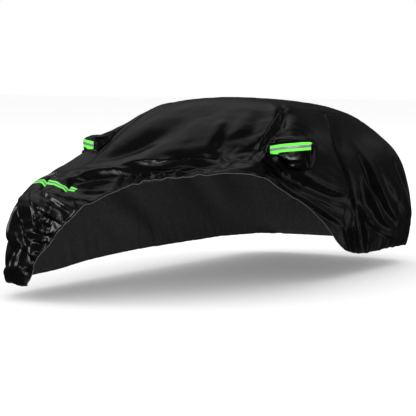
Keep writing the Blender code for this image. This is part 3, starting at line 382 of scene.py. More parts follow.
# Folds of the pockets. A place is (ring, point): rings from the root to the tip, points round a ring.
# Columns: name, width, rise, sharp, path.
POCKET_FOLDS = (
    ("upper fan", 0.014, 0.007, 0.8, ((1.5, 18.6), (4.0, 18.0), (7.0, 17.4))),
    ("upper fan gap", 0.012, -0.007, 0.5, ((1.5, 18.2), (4.0, 17.4), (7.0, 16.6))),
    ("lower fan", 0.014, 0.008, 0.8, ((1.5, 17.8), (4.0, 16.8), (6.0, 15.8))),
    ("lower fan gap", 0.012, -0.007, 0.5, ((1.5, 17.3), (4.0, 16.2), (6.0, 15.2))),
    ("upright crease", 0.012, 0.009, 0.8, ((7.2, 18.8), (7.2, 17.0), (7.0, 15.4))),
    ("upright hollow", 0.020, -0.011, 0.5, ((6.5, 18.2), (6.6, 16.8), (6.4, 15.2))),
    ("crown fold", 0.018, -0.004, 0.4, ((1.5, 4.6), (4.0, 4.0), (7.0, 3.6))),
    ("root gather", 0.014, -0.006, 0.5, ((1.2, 3.4), (2.6, 3.2), (4.4, 3.3))),
)
POCKET_POINTS = 20            # the coarse points round a ring
POCKET_BACK_POINTS = 16       # those of them behind its tape
TAPE_RINGS = (2, 8)           # the first and last ring under a pocket's tape
NEIGHBOURS = 8                # the panel's points that a ring's point is held clear of
TAPE_REACH = 0.9              # the most of a ring's half height that its tape takes up
POCKET_CLEARANCE = 0.022      # from a ring to the side panel beneath it
POCKET_TIP = 0.008            # how far the tip bulges beyond the last ring
POCKET_CROWN = 0.002          # and the ring halfway to the tip
POCKET_HEART = (0.93, -0.62)  # a place inside each pocket, seen from above
POCKET_FACET = 0.045          # how wide the facets of a pocket's cloth are
POCKET_SEED = 140
SQUARENESS = 2.0 / 3.0        # the power that rounds a ring off between an oval and a box
RING_STEPS = 6                # fine rows from one ring to the next

# Gathers that the elastic makes along the border. Reach is how far they run into the cloth.
# Columns: pitch, reach, height.
PUCKERS = (
    (0.013, 0.035, 0.0026),
    (0.026, 0.090, 0.0050),
    (0.060, 0.210, 0.0075),
)
GATHER_SEED = 50
WANDER = 0.25                # how far a gather strays sideways, to its distance from the border
WANDER_PITCH = 0.3
WANDER_SEED = 40

# How strongly the elastic draws in each stretch of the border: the first row that a place is below.
# Columns: stretch, along, across, strength.
DRAWS = (
    ("front corner", 8.3, 0.2, 1.25),
    ("bonnet", 8.3, 1.2, 1.15),
    ("door", 8.3, 9.0, 0.35),
    ("tail and right side", 99.0, 2.9, 0.8),
    ("left hem", 99.0, 9.0, 0.9),
)
BORDER_STEP = 0.004          # between the places kept along the border
BORDER_REACH = 0.45          # the border's gathers are not looked for beyond this
CHANNEL_RISE = 0.0025        # how high the elastic lifts its channel

# The cloth's small unevenness. Columns: height, size, seed.
UNEVEN = (
    (0.0022, 0.11, 61),
    (0.0050, 0.34, 62),
)

# How a fold fades towards its ends and falls away beside its crest.
END_FADE = 0.30              # the share of a fold's length over which each end fades
END_HEIGHT = 0.30            # the share of its height that an end keeps
FOLD_REACH = 1.45            # how far it reaches from its crest, to its width
SHARPEST = 0.04              # the rounding of a sharp crest, and what a round one adds
ROUNDEST = 0.9
DEPTH_SHARE = 0.3            # how much a place's distance off the path's own cloth counts

# Studio lights. Columns: name, place, target, size, power.
LIGHTS = (
    ("left softbox", (-8.5, -5.0, 2.2), (-0.5, -1.8, -0.8), (3.4, 3.4), 160.0),
    ("front softbox", (0.5, -11.0, 1.2), (0.5, -1.0, -0.5), (3.0, 1.6), 90.0),
    ("low softbox", (5.2, -9.6, -1.0), (0.9, -1.0, -0.35), (3.0, 0.8), 150.0),
    ("right softbox", (5.5, 10.5, 3.3), (1.0, 0.0, -0.5), (5.0, 2.5), 5.5),
    ("back softbox", (1.5, 13.0, 3.8), (1.0, 1.0, -0.6), (3.0, 2.0), 2.5),
    ("high softbox", (6.0, -1.0, 6.0), (0.0, 0.6, 0.0), (3.5, 3.5), 40.0),
    ("floor bounce", (2.8, 2.6, -1.40), (1.2, 1.4, -0.2), (1.0, 2.6), 2.4),
    ("rear low softbox", (-6.5, 8.5, -0.3), (0.0, 1.5, -0.6), (4.0, 1.4), 60.0),
)
WHITE = (1.0, 1.0, 1.0, 1.0)
FLOOR_GLOW = 0.18
EVEN_LIGHT = 1.25            # the sky's even light on the cloth
BRIGHT_SKY = (-0.50, 0.42, 0.76)   # the direction of the sky's bright patch
SKY_PATCH = 0.26             # what the cloth reflects: the bright patch, and the sky below and above
SKY_LOW = 0.02
SKY_HIGH = 0.045
PATCH_EDGE = (0.84, 0.96)    # the cosines between which the patch fades in
HORIZON = (-0.15, 0.15)      # the heights between which the sky turns from low to high

# The photo's view: degrees round from straight ahead and above level.
VIEW_AZIMUTH = 31.69
VIEW_ELEVATION = 4.88
VIEW_LENS = 147.98
SENSOR = 36.0
VIEW_END = 400.0
VIEW_PLACE = (7.225, -12.358, 0.301)


# ---------------------------------------------------------------- the shape of the cloth
def ease(share):
    """From 0 to 1, level at both ends."""
    return share * share * (3 - 2 * share)


def unit(vectors):
    return vectors / np.maximum(np.linalg.norm(vectors, axis=-1, keepdims=True), 1e-9)


def turned(points):
    """A grid of points with its rows as columns."""
    return points.transpose(1, 0, 2)


def run_along(points):
    """How far each point of a line, or of a grid's first axis, lies from the start."""
    gaps = np.linalg.norm(np.diff(points, axis=0), axis=-1)
    return np.concatenate([np.zeros_like(gaps[:1]), np.cumsum(gaps, axis=0)])


def smooth_row(table, along):
    """Read a table at a place between its rows, on a smooth curve through them."""
    rows = np.vstack([2 * table[0] - table[1], table, 2 * table[-1] - table[-2]])
    k = np.clip(np.floor(along).astype(int), 0, len(table) - 2)
    f = (along - k)[..., None]
    a, b, c, d = rows[k], rows[k + 1], rows[k + 2], rows[k + 3]
    return 0.5 * (2 * b + (c - a) * f + (2 * a - 5 * b + 4 * c - d) * f**2
                  + (3 * b - a - 3 * c + d) * f**3)


def crown(section, v):
    """A point of the centre panel: v is 0 in the middle and 1 at the seam."""
    v = np.asarray(v)[..., None]
    y_mid, z_mid = section[..., 0:1], section[..., 1:2]
    x_seam, y_seam, z_seam = section[..., 2:3], section[..., 3:4], section[..., 4:5]
    return np.concatenate([x_seam * v, y_mid + (y_seam - y_mid) * v**2,
                           z_mid + (z_seam - z_mid) * v**CROWN_POWER], axis=-1)


def arc_between(start, end, leave, arrive, s):
    """A smooth curve from start to end that leaves and arrives in the given directions."""
    s = s[..., None]
    return (start * (2 * s**3 - 3 * s**2 + 1) + leave * (s**3 - 2 * s**2 + s)
            + end * (3 * s**2 - 2 * s**3) + arrive * (s**3 - s**2))


SECTION_TABLE = np.array([row[1:] for row in SECTIONS])


def plain_cover(along, across):
    """The cover without folds, as taut cloth, from mid wheelbase and the ground."""
    along, across = np.broadcast_arrays(np.asarray(along, float), np.asarray(across, float))
    section = smooth_row(SECTION_TABLE, along)
    reach = np.abs(across)
    seam, belt, hem = section[..., 2:5], section[..., 5:8], section[..., 8:11]
    before_seam = crown(section, np.full(along.shape, SEAM_ROUNDING))
    at_belt = 0.5 * (hem - seam)
    along_hem = smooth_row(SECTION_TABLE, along + HEM_STEP) - smooth_row(SECTION_TABLE, along - HEM_STEP)
    under = unit(np.stack([-along_hem[..., 9], along_hem[..., 8], np.zeros(along.shape)], axis=-1))
    at_hem = LOWER_FULLNESS * (hem - belt) + HEM_TUCK * under
    top = crown(section, np.minimum(reach, 1.0))
    upper = arc_between(seam, belt, 0.5 * (belt - before_seam), at_belt, np.clip(reach - SEAM, 0, 1))
    lower = arc_between(belt, hem, at_belt, at_hem, np.maximum(reach - BELT, 0))
    point = np.where((reach <= SEAM)[..., None], top, np.where((reach <= BELT)[..., None], upper, lower))
    point[..., 0] *= np.where(across < 0, -1.0, 1.0)
    return point


def outward(along, across, step=0.02):
    """The direction straight out of the taut cloth."""
    down = plain_cover(along, across + step) - plain_cover(along, across - step)
    back = plain_cover(along + step, across) - plain_cover(along - step, across)
    return unit(np.cross(down, back))


def fold_shift(point, normal, width, rise, sharp, tip, path):
    """How a fold moves each point: out of the cloth, and to one side where its crest leans over."""
    path = np.array(path)
    margin = 3 * width
    near = np.all((point > path.min(axis=0) - margin) & (point < path.max(axis=0) + margin), axis=-1)
    shift = np.zeros_like(point)
    if not near.any():
        return shift
    p, n = point[near], normal[near]
    starts = run_along(path)
    nearest = np.full(len(p), np.inf)
    place = np.zeros(len(p))
    sideways = np.zeros_like(p)
    for a, b, start in zip(path[:-1], path[1:], starts):
        length = np.linalg.norm(b - a)
        u = np.clip(((p - a) @ (b - a)) / length**2, 0, 1)
        away = p - (a + u[:, None] * (b - a))
        off_cloth = (away * n).sum(-1)
        distance = np.sqrt(np.maximum((away**2).sum(-1) - off_cloth**2, 0.0))
        distance += DEPTH_SHARE * np.abs(off_cloth)
        closer = distance < nearest
        nearest = np.where(closer, distance, nearest)
        place = np.where(closer, start + u * length, place)
        sideways = np.where(closer[:, None], np.cross((b - a) / length, n), sideways)
    from_end = np.clip(np.minimum(place, starts[-1] - place) / (END_FADE * starts[-1]), 0, 1)
    fade = END_HEIGHT + (1 - END_HEIGHT) * ease(from_end)
    rounding = SHARPEST + ROUNDEST * (1 - sharp)
    fall = np.clip(1 - (np.sqrt((nearest / width)**2 + rounding**2) - rounding) / FOLD_REACH, 0, 1) ** 2
    shift[near] = (rise * fade * fall)[:, None] * (n + tip * sideways)
    return shift


def smooth_noise(x, seed):
    """A smooth random curve between -1 and 1, with a new value at each whole number."""
    values = np.random.default_rng(seed).uniform(-1, 1, RANDOM_CURVE)
    k = np.floor(x).astype(int)
    f = ease(x - k)
    return values[k % len(values)] * (1 - f) + values[(k + 1) % len(values)] * f


def lump_noise(point, size, seed, crisp=False):
    """Random lumps of about one size, between -1 and 1: smooth, or flat facets with crisp creases."""
    values = np.random.default_rng(seed).uniform(-1, 1, 3 * (RANDOM_BOX,))
    cell = point / size
    k = np.floor(cell).astype(int)
    f = cell - k if crisp else ease(cell - k)
    total = 0.0
    for corner in product((0, 1), repeat=3):
        i, j, m = np.moveaxis((k + corner) % len(values), -1, 0)
        total = total + np.abs(1 - np.array(corner) - f).prod(axis=-1) * values[i, j, m]
    return total


def creased(point):
    """How much the cloth is creased at each point, from 0 to 1."""
    share = np.zeros(point.shape[:-1])
    for _, (across, along), reach, _, _, rise in CRUMPLES:
        centre = plain_cover(along, across)
        share += rise / FULL_CREASE * np.exp(-((point - centre)**2).sum(-1) / (CREASE_SPREAD * reach)**2)
    return np.clip(share, 0, 1)


def crumples(point):
    """Crumpled patches: facets of two sizes, drawn out along each patch's own folds."""
    height = np.zeros(point.shape[:-1])
    for number, (_, (across, along), reach, stretch, size, rise) in enumerate(CRUMPLES):
        share = np.exp(-((point - plain_cover(along, across))**2).sum(-1) / reach**2)
        near = share > PATCH_END
        p = point[near]
        lie = unit(np.array(stretch))
        p = p - FACET_STRETCH * (p @ lie)[:, None] * lie
        warp = [lump_noise(p, WARP_SIZE * size, WARP_SEED + 3 * number + k) for k in range(3)]
        p = (p + WARP_SHARE * size * np.stack(warp, axis=-1)) @ SKEW
        broad = lump_noise(p, size, BROAD_SEED + number, crisp=True)
        fine = lump_noise(p, FINE_SIZE * size, FINE_SEED + number, crisp=True)
        height[near] += rise * share[near] * (broad + FINE_SHARE * fine)
    return height


# ---------------------------------------------------------------- the border of the cover
def along_edge(table, across):
    """Read a table of (across, along) rows."""
    return np.interp(across, *np.transpose(table))


def border_places():
    """Places along the whole border: the free edge, the left hem, the tail's and the right side's."""
    edge = [(a, b) for a, b in FREE_EDGE if a < SILL_CORNER[0]] + [SILL_CORNER]
    hem = [(HEM, UPRIGHT_SEAM[-1][1]), (HEM, LAST), (-HEM, LAST), (-HEM, FREE_EDGE[0][1])]
    corners = np.array(edge + hem)
    places = []
    for a, b in zip(corners[:-1], corners[1:]):
        length = np.linalg.norm(plain_cover(a[1], a[0]) - plain_cover(b[1], b[0]))
        share = np.linspace(0, 1, max(int(length / BORDER_STEP), 2), endpoint=False)[:, None]
        places.append(a + (b - a) * share)
    return np.concatenate(places)


def draw_in(across, along):
    """How strongly the elastic gathers the border, by the border's own place."""
    strength = np.zeros(across.shape)
    for _, last_along, last_across, value in reversed(DRAWS):
        strength = np.where((along < last_along) & (across < last_across), value, strength)
    return strength


BORDER = border_places()
BORDER_POINTS = plain_cover(BORDER[:, 1], BORDER[:, 0])
BORDER_RUN = run_along(BORDER_POINTS)
BORDER_DRAW = draw_in(BORDER[:, 0], BORDER[:, 1])
BORDER_TREE = KDTree(len(BORDER_POINTS))
for number, spot in enumerate(BORDER_POINTS):
    BORDER_TREE.insert(spot, number)
BORDER_TREE.balance()


def from_border(point):
    """Each point's distance from the border and the run of the border beside it."""
    flat = point.reshape(-1, 3)
    distance = np.full(len(flat), BORDER_REACH)
    run = np.zeros(len(flat))
    for k, p in enumerate(flat):
        _, index, gap = BORDER_TREE.find(p)
        if gap < BORDER_REACH:
            distance[k] = gap
            run[k] = BORDER_RUN[index]
    return distance.reshape(point.shape[:-1]), run.reshape(point.shape[:-1])


def cloth_points(along, across):
    """The finished surface of a panel: taut shape, folds, creases, gathers and small unevenness."""
    point = plain_cover(along, across)
    normal = outward(along, across)
    shift = np.zeros_like(point)
    for _, *fold in FOLDS:
        shift += fold_shift(point, normal, *fold)
    for _, width, rise, sharp, tip, places in CREASES:
        places = np.array(places)
        path = plain_cover(places[:, 1], places[:, 0])
        shift += fold_shift(point, normal, width, rise, sharp, tip, path)
    distance, run = from_border(point)
    from_corner = np.linalg.norm(point - BORDER_POINTS[0], axis=-1)
    strength = np.interp(run, BORDER_RUN, BORDER_DRAW) * np.clip(from_corner / CORNER_CALM, 0, 1)
    gather = 0.0
    for number, (pitch, reach, height) in enumerate(PUCKERS):
        stray = WANDER * distance * smooth_noise(run / WANDER_PITCH, WANDER_SEED + number)
        wave = smooth_noise((run + stray) / pitch, GATHER_SEED + number)
        gather = gather + height * wave * np.exp(-distance / reach)
    channel = np.clip(1 - ((distance - 0.5 * HEM_DEPTH) / (0.5 * HEM_DEPTH))**2, 0, 1)
    height = strength * gather + CHANNEL_RISE * channel
    for rise, size, seed in UNEVEN:
        height = height + rise * lump_noise(point, size, seed)
    height = height + crumples(point) * np.clip(distance / EDGE_CALM, EDGE_REST, 1.0)
    tuck = np.clip(1 - from_corner / TUCK_REACH, 0, 1)[..., None] * CORNER_TUCK
    return point + shift + tuck + normal * height[..., None]


# ---------------------------------------------------------------- panels as grids of places
def crowded(first, last, count, power=EDGE_CROWDING):
    """Values from first to last that lie closer together near first."""
    return first + (last - first) * np.linspace(0, 1, count + 1) ** power


def long_rows(across):
    """Places along the cover at one line of it: from the free edge to the seam, then to the tail."""
    line = float(along_edge(TAPE_LINE, across))
    nearby = plain_cover(np.array([line - ROW_PROBE, line + ROW_PROBE]), across)
    row_length = np.linalg.norm(nearby[1] - nearby[0]) / (2 * ROW_PROBE)
    tape = line + np.array([-TAPE_WIDTH, -STRIP_WIDTH, STRIP_WIDTH, TAPE_WIDTH]) / 2 / row_length
    split = float(along_edge(UPRIGHT_SEAM, max(across, SEAM)))
    edge = crowded(float(along_edge(FREE_EDGE, across)), tape[0], EDGE_ROWS * FINE)
    over = np.interp(np.linspace(0, TAPE_ROWS, TAPE_ROWS * FINE + 1), range(TAPE_ROWS + 1), tape)
    screen = np.linspace(tape[-1], split, SCREEN_ROWS * FINE + 1)
    rear = crowded(LAST, split, REAR_ROWS * FINE, REAR_CROWDING)[::-1]
    return np.concatenate([edge[:-1], over, screen[1:], rear[1:]])


def side_lines(columns):
    """Lines from the seam to the hem: even over the pocket's columns, then closer to the hem."""
    step = (HEM - SEAM) / columns
    even = np.linspace(SEAM, SEAM + step * EVEN_COLUMNS, EVEN_COLUMNS * FINE + 1)
    rest = crowded(HEM, even[-1], (columns - EVEN_COLUMNS) * FINE)[::-1]
    return np.concatenate([even[:-1], rest])


def strip_grid(lines):
    along = np.stack([long_rows(line) for line in lines], axis=1)
    return along, np.broadcast_to(lines, along.shape)


def left_front_grid():
    """The peeled panel: seam on top, upright seam behind, free edge in front, a short sill below."""
    top = long_rows(SEAM)[:FRONT_ROWS * FINE + 1]
    a = ((top - top[0]) / (top[-1] - top[0]))[:, None]
    b = np.linspace(0, 1, LEFT_COLUMNS * FINE + 1)[None, :]
    edge = [row for row in FREE_EDGE if SEAM < row[0] < SILL_CORNER[0]]
    edge = np.array([(SEAM, float(along_edge(FREE_EDGE, SEAM)))] + edge + [SILL_CORNER])
    walk = run_along(edge)
    edge_across, edge_along = (np.interp(b, walk / walk[-1], edge[:, k]) for k in (0, 1))
    seam_across = SEAM + (HEM - SEAM) * b
    seam_along = along_edge(UPRIGHT_SEAM, seam_across)
    return (1 - a) * edge_along + a * seam_along, (1 - a) * edge_across + a * seam_across


# ---------------------------------------------------------------- meshes
def new_object(name, bm):
    mesh = bpy.data.meshes.new(name)
    bm.to_mesh(mesh)
    bm.free()
    node = bpy.data.objects.new(name, mesh)
    bpy.context.scene.collection.objects.link(node)
    return node


def grid_mesh(name, points, hole=None, closed=False):
    """A sheet through a grid of points, with a UV map in metres along the cloth."""
    rows, columns = points.shape[0] - 1, points.shape[1] - 1
    u, v = run_along(turned(points)).T, run_along(points)
    bm = bmesh.new()
    bmesh.ops.create_grid(bm, x_segments=rows, y_segments=columns, size=1.0)
    layer = bm.loops.layers.uv.new("cloth")
    gloss = bm.verts.layers.float.new("gloss")
    shine = creased(points)
    place = {}
    for vert in bm.verts:
        i = round((vert.co.x + 1) / 2 * rows)
        j = round((vert.co.y + 1) / 2 * columns)
        place[vert] = (i, j)
        vert.co = points[i, j] - ROOF_SEAT
        vert[gloss] = shine[i, j]
    if hole:
        row, column, row_cells, column_cells = (count * FINE for count in hole)
        cut = [face for face in bm.faces
               if all(row <= place[vert][0] <= row + row_cells
                      and column <= place[vert][1] <= column + column_cells for vert in face.verts)]
        bmesh.ops.delete(bm, geom=cut, context="FACES")
    for face in bm.faces:
        face.smooth = True
        for loop in face.loops:
            i, j = place[loop.vert]
            loop[layer].uv = (u[i, j], v[i, j])
    if closed:
        bmesh.ops.remove_doubles(bm, verts=bm.verts[:], dist=MERGE)
    return new_object(name, bm)


def face_outwards(node, inside):
    """Turn a sheet over if it faces the given place inside it."""
    middle = Vector(inside - ROOF_SEAT)
    if sum(face.normal.dot(face.center - middle) for face in node.data.polygons) < 0:
        node.data.flip_normals()


def thicken(node, thickness, offset=-1.0):
    wall = node.modifiers.new("Cloth", "SOLIDIFY")
    wall.thickness = thickness
    wall.offset = offset
    wall.use_even_offset = False


def dress(node, material, slot, *solids):
    node.data.materials.clear()
    node.data.materials.append(material)
    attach(node, "root")
    if solids:
        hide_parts(*solids)


def cover_cloth(node, inside, solid):
    """Give an open sheet the cloth's thickness, its black outer face and its brushed back."""
    face_outwards(node, inside)
    thicken(node, CLOTH)
    dress(node, BLACK, "black cloth", solid)
    node.data.materials.append(BACK)
    node.modifiers["Cloth"].material_offset = 1


# ---------------------------------------------------------------- materials
def feed(node, values):
    """Give a node's inputs their numbers and colours, or the outputs of other nodes."""
    for name, value in values.items():
        if isinstance(value, bpy.types.NodeSocket):
            node.id_data.links.new(value, node.inputs[name])
        else:
            node.inputs[name].default_value = value
    return node


def node_of(tree, kind, values=None, **settings):
    made = tree.nodes.new(kind)
    for name, value in settings.items():
        setattr(made, name, value)
    return feed(made, values or {})


def new_material(name):
    made = bpy.data.materials.new(name)
    made.use_nodes = True
    return made, made.node_tree, made.node_tree.nodes["Principled BSDF"]


def on_object(tree):
    return node_of(tree, "ShaderNodeTexCoord").outputs["Object"]


def on_cloth(tree):
    return node_of(tree, "ShaderNodeUVMap", uv_map="cloth").outputs["UV"]


def noise_of(tree, scale, detail=2.0, roughness=0.5):
    values = {"Vector": on_object(tree), "Scale": scale, "Detail": detail, "Roughness": roughness}
    return node_of(tree, "ShaderNodeTexNoise", values).outputs["Fac"]


def ramp_of(tree, source, low, high, at=(0.3, 0.7)):
    """A ramp between two greys or colours."""
    made = node_of(tree, "ShaderNodeValToRGB", {"Fac": source})
    for element, position, colour in zip(made.color_ramp.elements, at, (low, high)):
        element.position = position
        element.color = (*colour, 1.0)
    return made.outputs["Color"]


def range_of(tree, source, low, high, start=0.3, end=0.7):
    values = {"Value": source, "From Min": start, "From Max": end, "To Min": low, "To Max": high}
    return node_of(tree, "ShaderNodeMapRange", values).outputs["Result"]


def math_of(tree, operation, first, second):
    return node_of(tree, "ShaderNodeMath", {0: first, 1: second}, operation=operation).outputs["Value"]


def bump_of(tree, height, strength, distance, **below):
    values = {"Height": height, "Strength": strength, "Distance": distance, **below}
    return node_of(tree, "ShaderNodeBump", values).outputs["Normal"]


def black_cloth():
    """Coated polyester: near black, glossier where it is creased, with rubs, crinkles and a weave."""
    made, tree, shader = new_material("black coated cloth")
    rubs = noise_of(tree, 9.0, 4.0, 0.6)
    patches = noise_of(tree, 1.6, 3.0)
    gloss = node_of(tree, "ShaderNodeAttribute", attribute_name="gloss").outputs["Fac"]
    shine = range_of(tree, gloss, 0.0, 0.20, 0.0, 1.0)
    crinkle = noise_of(tree, 26.0, 3.0, 0.55)
    weave = node_of(tree, "ShaderNodeTexChecker", {"Vector": on_cloth(tree), "Scale": 700.0})
    feed(shader, {
        "Base Color": ramp_of(tree, rubs, (0.0018, 0.0018, 0.0020), (0.0032, 0.0032, 0.0034)),
        "Roughness": math_of(tree, "SUBTRACT", range_of(tree, patches, 0.40, 0.50), shine),
        "Specular IOR Level": 0.45,
        "Normal": bump_of(tree, weave.outputs["Fac"], 0.05, 0.0003,
                          Normal=bump_of(tree, crinkle, 0.13, 0.004)),
    })
    return made


def brushed_back():
    """The cover's inner face, a brushed black knit."""
    made, tree, shader = new_material("brushed back")
    nap = noise_of(tree, 60.0, 4.0, 0.7)
    feed(shader, {
        "Base Color": ramp_of(tree, nap, (0.012, 0.012, 0.013), (0.026, 0.026, 0.027)),
        "Roughness": 0.85,
        "Specular IOR Level": 0.20,
        "Normal": bump_of(tree, nap, 0.3, 0.002),
    })
    return made


def green_tape():
    """Fluorescent woven tape with fine ribs, with a painted glow: an emission that brightens it as light on
    it would.
    """
    made, tree, shader = new_material("green tape")
    ribs = node_of(tree, "ShaderNodeTexWave",
                   {"Vector": on_cloth(tree), "Scale": 120.0, "Distortion": 0.4},
                   wave_type="BANDS", bands_direction="X").outputs["Fac"]
    feed(shader, {
        "Base Color": ramp_of(tree, ribs, (0.095, 0.700, 0.030), (0.150, 0.860, 0.070)),
        "Roughness": 0.50,
        "Normal": bump_of(tree, ribs, 0.3, 0.0004),
        # painted glow: the tape is no lamp, this green emission stands in for light falling on it
        "Emission Color": (0.100, 0.900, 0.030, 1.0),
        "Emission Strength": 0.25,
    })
    return made


def grey_strip():
    """Reflective strip: tiny glass beads in a fine diamond net."""
    made, tree, shader = new_material("grey strip")
    beads = node_of(tree, "ShaderNodeTexVoronoi",
                    {"Vector": on_cloth(tree), "Scale": 900.0}).outputs["Distance"]
    feed(shader, {
        "Base Color": ramp_of(tree, beads, (0.340, 0.385, 0.410), (0.240, 0.270, 0.290), (0.1, 0.6)),
        "Roughness": 0.32,
        "Metallic": 0.35,
        "Normal": bump_of(tree, beads, 0.2, 0.0002),
    })
    return made


def rolled_edge_highlight():
    """The rolled edge, painted paler than the cloth as a highlight along it, with the twist of its overlock
    thread.
    """
    made, tree, shader = new_material("rolled edge")
    twist = noise_of(tree, 220.0)
    feed(shader, {
        # painted highlight: the pale grey stands in for light along the roll; the twist's variation is the
        # thread's own
        "Base Color": ramp_of(tree, twist, (0.030, 0.030, 0.031), (0.085, 0.085, 0.088)),
        "Roughness": 0.50,
        "Normal": bump_of(tree, twist, 0.4, 0.001),
    })
    return made


def black_thread():
    """Polyester sewing thread, with a slight twist."""
    made, tree, shader = new_material("black thread")
    twist = noise_of(tree, 900.0, 1.0)
    feed(shader, {
        "Base Color": ramp_of(tree, twist, (0.012, 0.012, 0.013), (0.030, 0.030, 0.031)),
        "Roughness": 0.55,
    })
    return made


BLACK = black_cloth()
ROLL = rolled_edge_highlight()
THREAD = black_thread()
BACK = brushed_back()
GREEN = green_tape()
GREY = grey_strip()


# ---------------------------------------------------------------- panels
def panel(name, grid, solid, hole=None):
    points = cloth_points(*grid)
    node = grid_mesh(name, points, hole)
    cover_cloth(node, HEART, solid)
    return points


centre_lines = np.linspace(-SEAM, SEAM, CENTRE_COLUMNS * FINE + 1)
rear_grid = [part[FRONT_ROWS * FINE:] for part in strip_grid(side_lines(LEFT_COLUMNS))]
centre = panel("centre_cloth", strip_grid(centre_lines), "centre_panel")
right = panel("right_side_cloth", strip_grid(-side_lines(RIGHT_COLUMNS)), "right_side_panel",
              POCKETS[1][2:6])
left_front = panel("left_front_cloth", left_front_grid(), "left_front_panel",
                   POCKETS[0][2:6])
left_rear = panel("left_rear_cloth", rear_grid, "left_rear_panel")


# ---------------------------------------------------------------- rolled edge and stitches
def inset(points, depth):
    """The line across a grid of points that lies a depth in from its first row."""
    near = points[:4 * FINE]
    run = run_along(near)
    return np.array([[np.interp(depth, run[:, k], near[:, k, axis]) for axis in range(3)]
                     for k in range(points.shape[1])])


def tube(name, path, radius, sides=6):
    """A closed round roll along a loop of points."""
    ahead = unit(np.roll(path, -1, axis=0) - np.roll(path, 1, axis=0))
    across = unit(np.cross(ahead, path - HEART))
    up = np.cross(across, ahead)
    turns = np.linspace(0, 2 * math.pi, sides, endpoint=False)
    bm = bmesh.new()
    rings = [[bm.verts.new(centre + radius * (math.cos(t) * a + math.sin(t) * b)) for t in turns]
             for centre, a, b in zip(path - ROOF_SEAT, across, up)]
    for ring, following in zip(rings, rings[1:] + rings[:1]):
        for k in range(sides):
            face = bm.faces.new((ring[k - 1], ring[k], following[k], following[k - 1]))
            face.smooth = True
    bmesh.ops.recalc_face_normals(bm, faces=bm.faces[:])
    return new_object(name, bm)


def spaced(path, pitch):
    """Points a pitch apart along a line."""
    run = run_along(path)
    places = np.arange(0.5 * pitch, run[-1], pitch)
    return np.stack([np.interp(places, run, path[:, k]) for k in range(3)], axis=1)


def stitches(name, lines):
    """Short raised threads along each line on the cloth."""
    size = Matrix.Diagonal((STITCH_LENGTH, STITCH_THREAD, STITCH_HEIGHT * STITCH_THREAD, 1.0))
    bm = bmesh.new()
    for line in lines:
        spots = spaced(line, STITCH_PITCH)
        for spot, way in zip(spots - ROOF_SEAT, np.gradient(spots, axis=0)):
            way = Vector(way).normalized()
            out = (Vector(spot) - Vector((0.0, spot[1], STITCH_HEART))).normalized()
            beside = way.cross(out).normalized()
            turn = Matrix((way, beside, beside.cross(way))).transposed().to_4x4()
            bmesh.ops.create_cube(bm, size=1.0, matrix=Matrix.Translation(spot) @ turn @ size)
    return new_object(name, bm)


def outline(*edges):
    """Join edge lines end to end, in a smooth closed loop."""
    loop = np.concatenate([edge[:-1] for edge in edges])
    return (np.roll(loop, 1, axis=0) + 2 * loop + np.roll(loop, -1, axis=0)) / 4


border_loop = outline(right[0, ::-1], centre[0], left_front[0], left_front[:, -1], left_rear[:, -1],
                      left_rear[-1, ::-1], centre[-1, ::-1], right[-1], right[::-1, -1])
hem_sides = (right, centre, left_front, turned(left_front[:, ::-1]), turned(left_rear[:, ::-1]),
             left_rear[::-1], centre[::-1], right[::-1], turned(right[:, ::-1]))
seam_sides = (turned(centre), turned(centre[:, ::-1]), turned(right), turned(left_front),
              turned(left_rear), left_front[::-1], left_rear)
hem_lines = [inset(side, HEM_DEPTH) for side in hem_sides]
seam_lines = [inset(side, SEAM_INSET) for side in seam_sides]
dress(tube("rolled_edge", border_loop, EDGE_ROLL), ROLL, "black cloth")
dress(stitches("hem_stitches", hem_lines), THREAD, "black cloth")
dress(stitches("seam_stitches", seam_lines), THREAD, "black cloth")


# ---------------------------------------------------------------- mirror pockets
def hole_rim(points, hole, turn):
    """The points around a pocket's hole, in the order of a ring's points."""
    row, column, rows, columns = (count * FINE for count in hole)
    steps = [(k, 0) for k in range(rows)]
    steps += [(rows, k) for k in range(columns)]
    steps += [(k, columns) for k in range(rows, 0, -1)]
    steps += [(0, k) for k in range(columns, 0, -1)]
    loop = np.array([points[row + i, column + j] for i, j in steps])
    return np.roll(loop, turn * FINE, axis=0)


def pocket_angles(z_tape, z_low, z_high):
    """Angles of a ring's points, with some on the edges of the tape and its strip."""
    angles = []
    for level in (-STRIP_WIDTH / 2, STRIP_WIDTH / 2, TAPE_WIDTH / 2):
        half = z_high - z_tape if level > 0 else z_tape - z_low
        share = min(abs(level) / half, TAPE_REACH)
        angles.append(math.copysign(math.asin(share ** (1 / SQUARENESS)), level))
    share = min(0.5 * TAPE_WIDTH / (z_tape - z_low), TAPE_REACH)
    tape_foot = 2 * math.pi - math.asin(share ** (1 / SQUARENESS))
    angles += list(np.linspace(angles[-1], tape_foot, POCKET_BACK_POINTS + 2)[1:])
    angles.append(angles[0] + 2 * math.pi)
    return np.interp(np.arange(POCKET_POINTS * FINE) / FINE, np.arange(len(angles)), angles)


def pocket_ring(side, z_tape, climb, x_root, x_tip, ring):
    """A rounded loop of points around a pocket, whose tape climbs and droops along it."""
    x_front, x_back, y_front, y_back, z_low, z_high = ring
    z_tape = z_tape + climb * (x_front - x_root) - POCKET_DROOP * ((x_tip - x_front) / (x_tip - x_root))**3
    angles = pocket_angles(z_tape, z_low, z_high)
    c, s = np.cos(angles), np.sin(angles)
    half = np.where(s > 0, z_high - z_tape, z_tape - z_low)
    y = 0.5 * (y_front + y_back) - 0.5 * (y_back - y_front) * np.copysign(np.abs(c) ** SQUARENESS, c)
    z = z_tape + half * np.copysign(np.abs(s) ** SQUARENESS, s)
    x = x_front + (x_back - x_front) * (y - y_front) / (y_back - y_front)
    return np.stack([side * x, y, z], axis=-1)


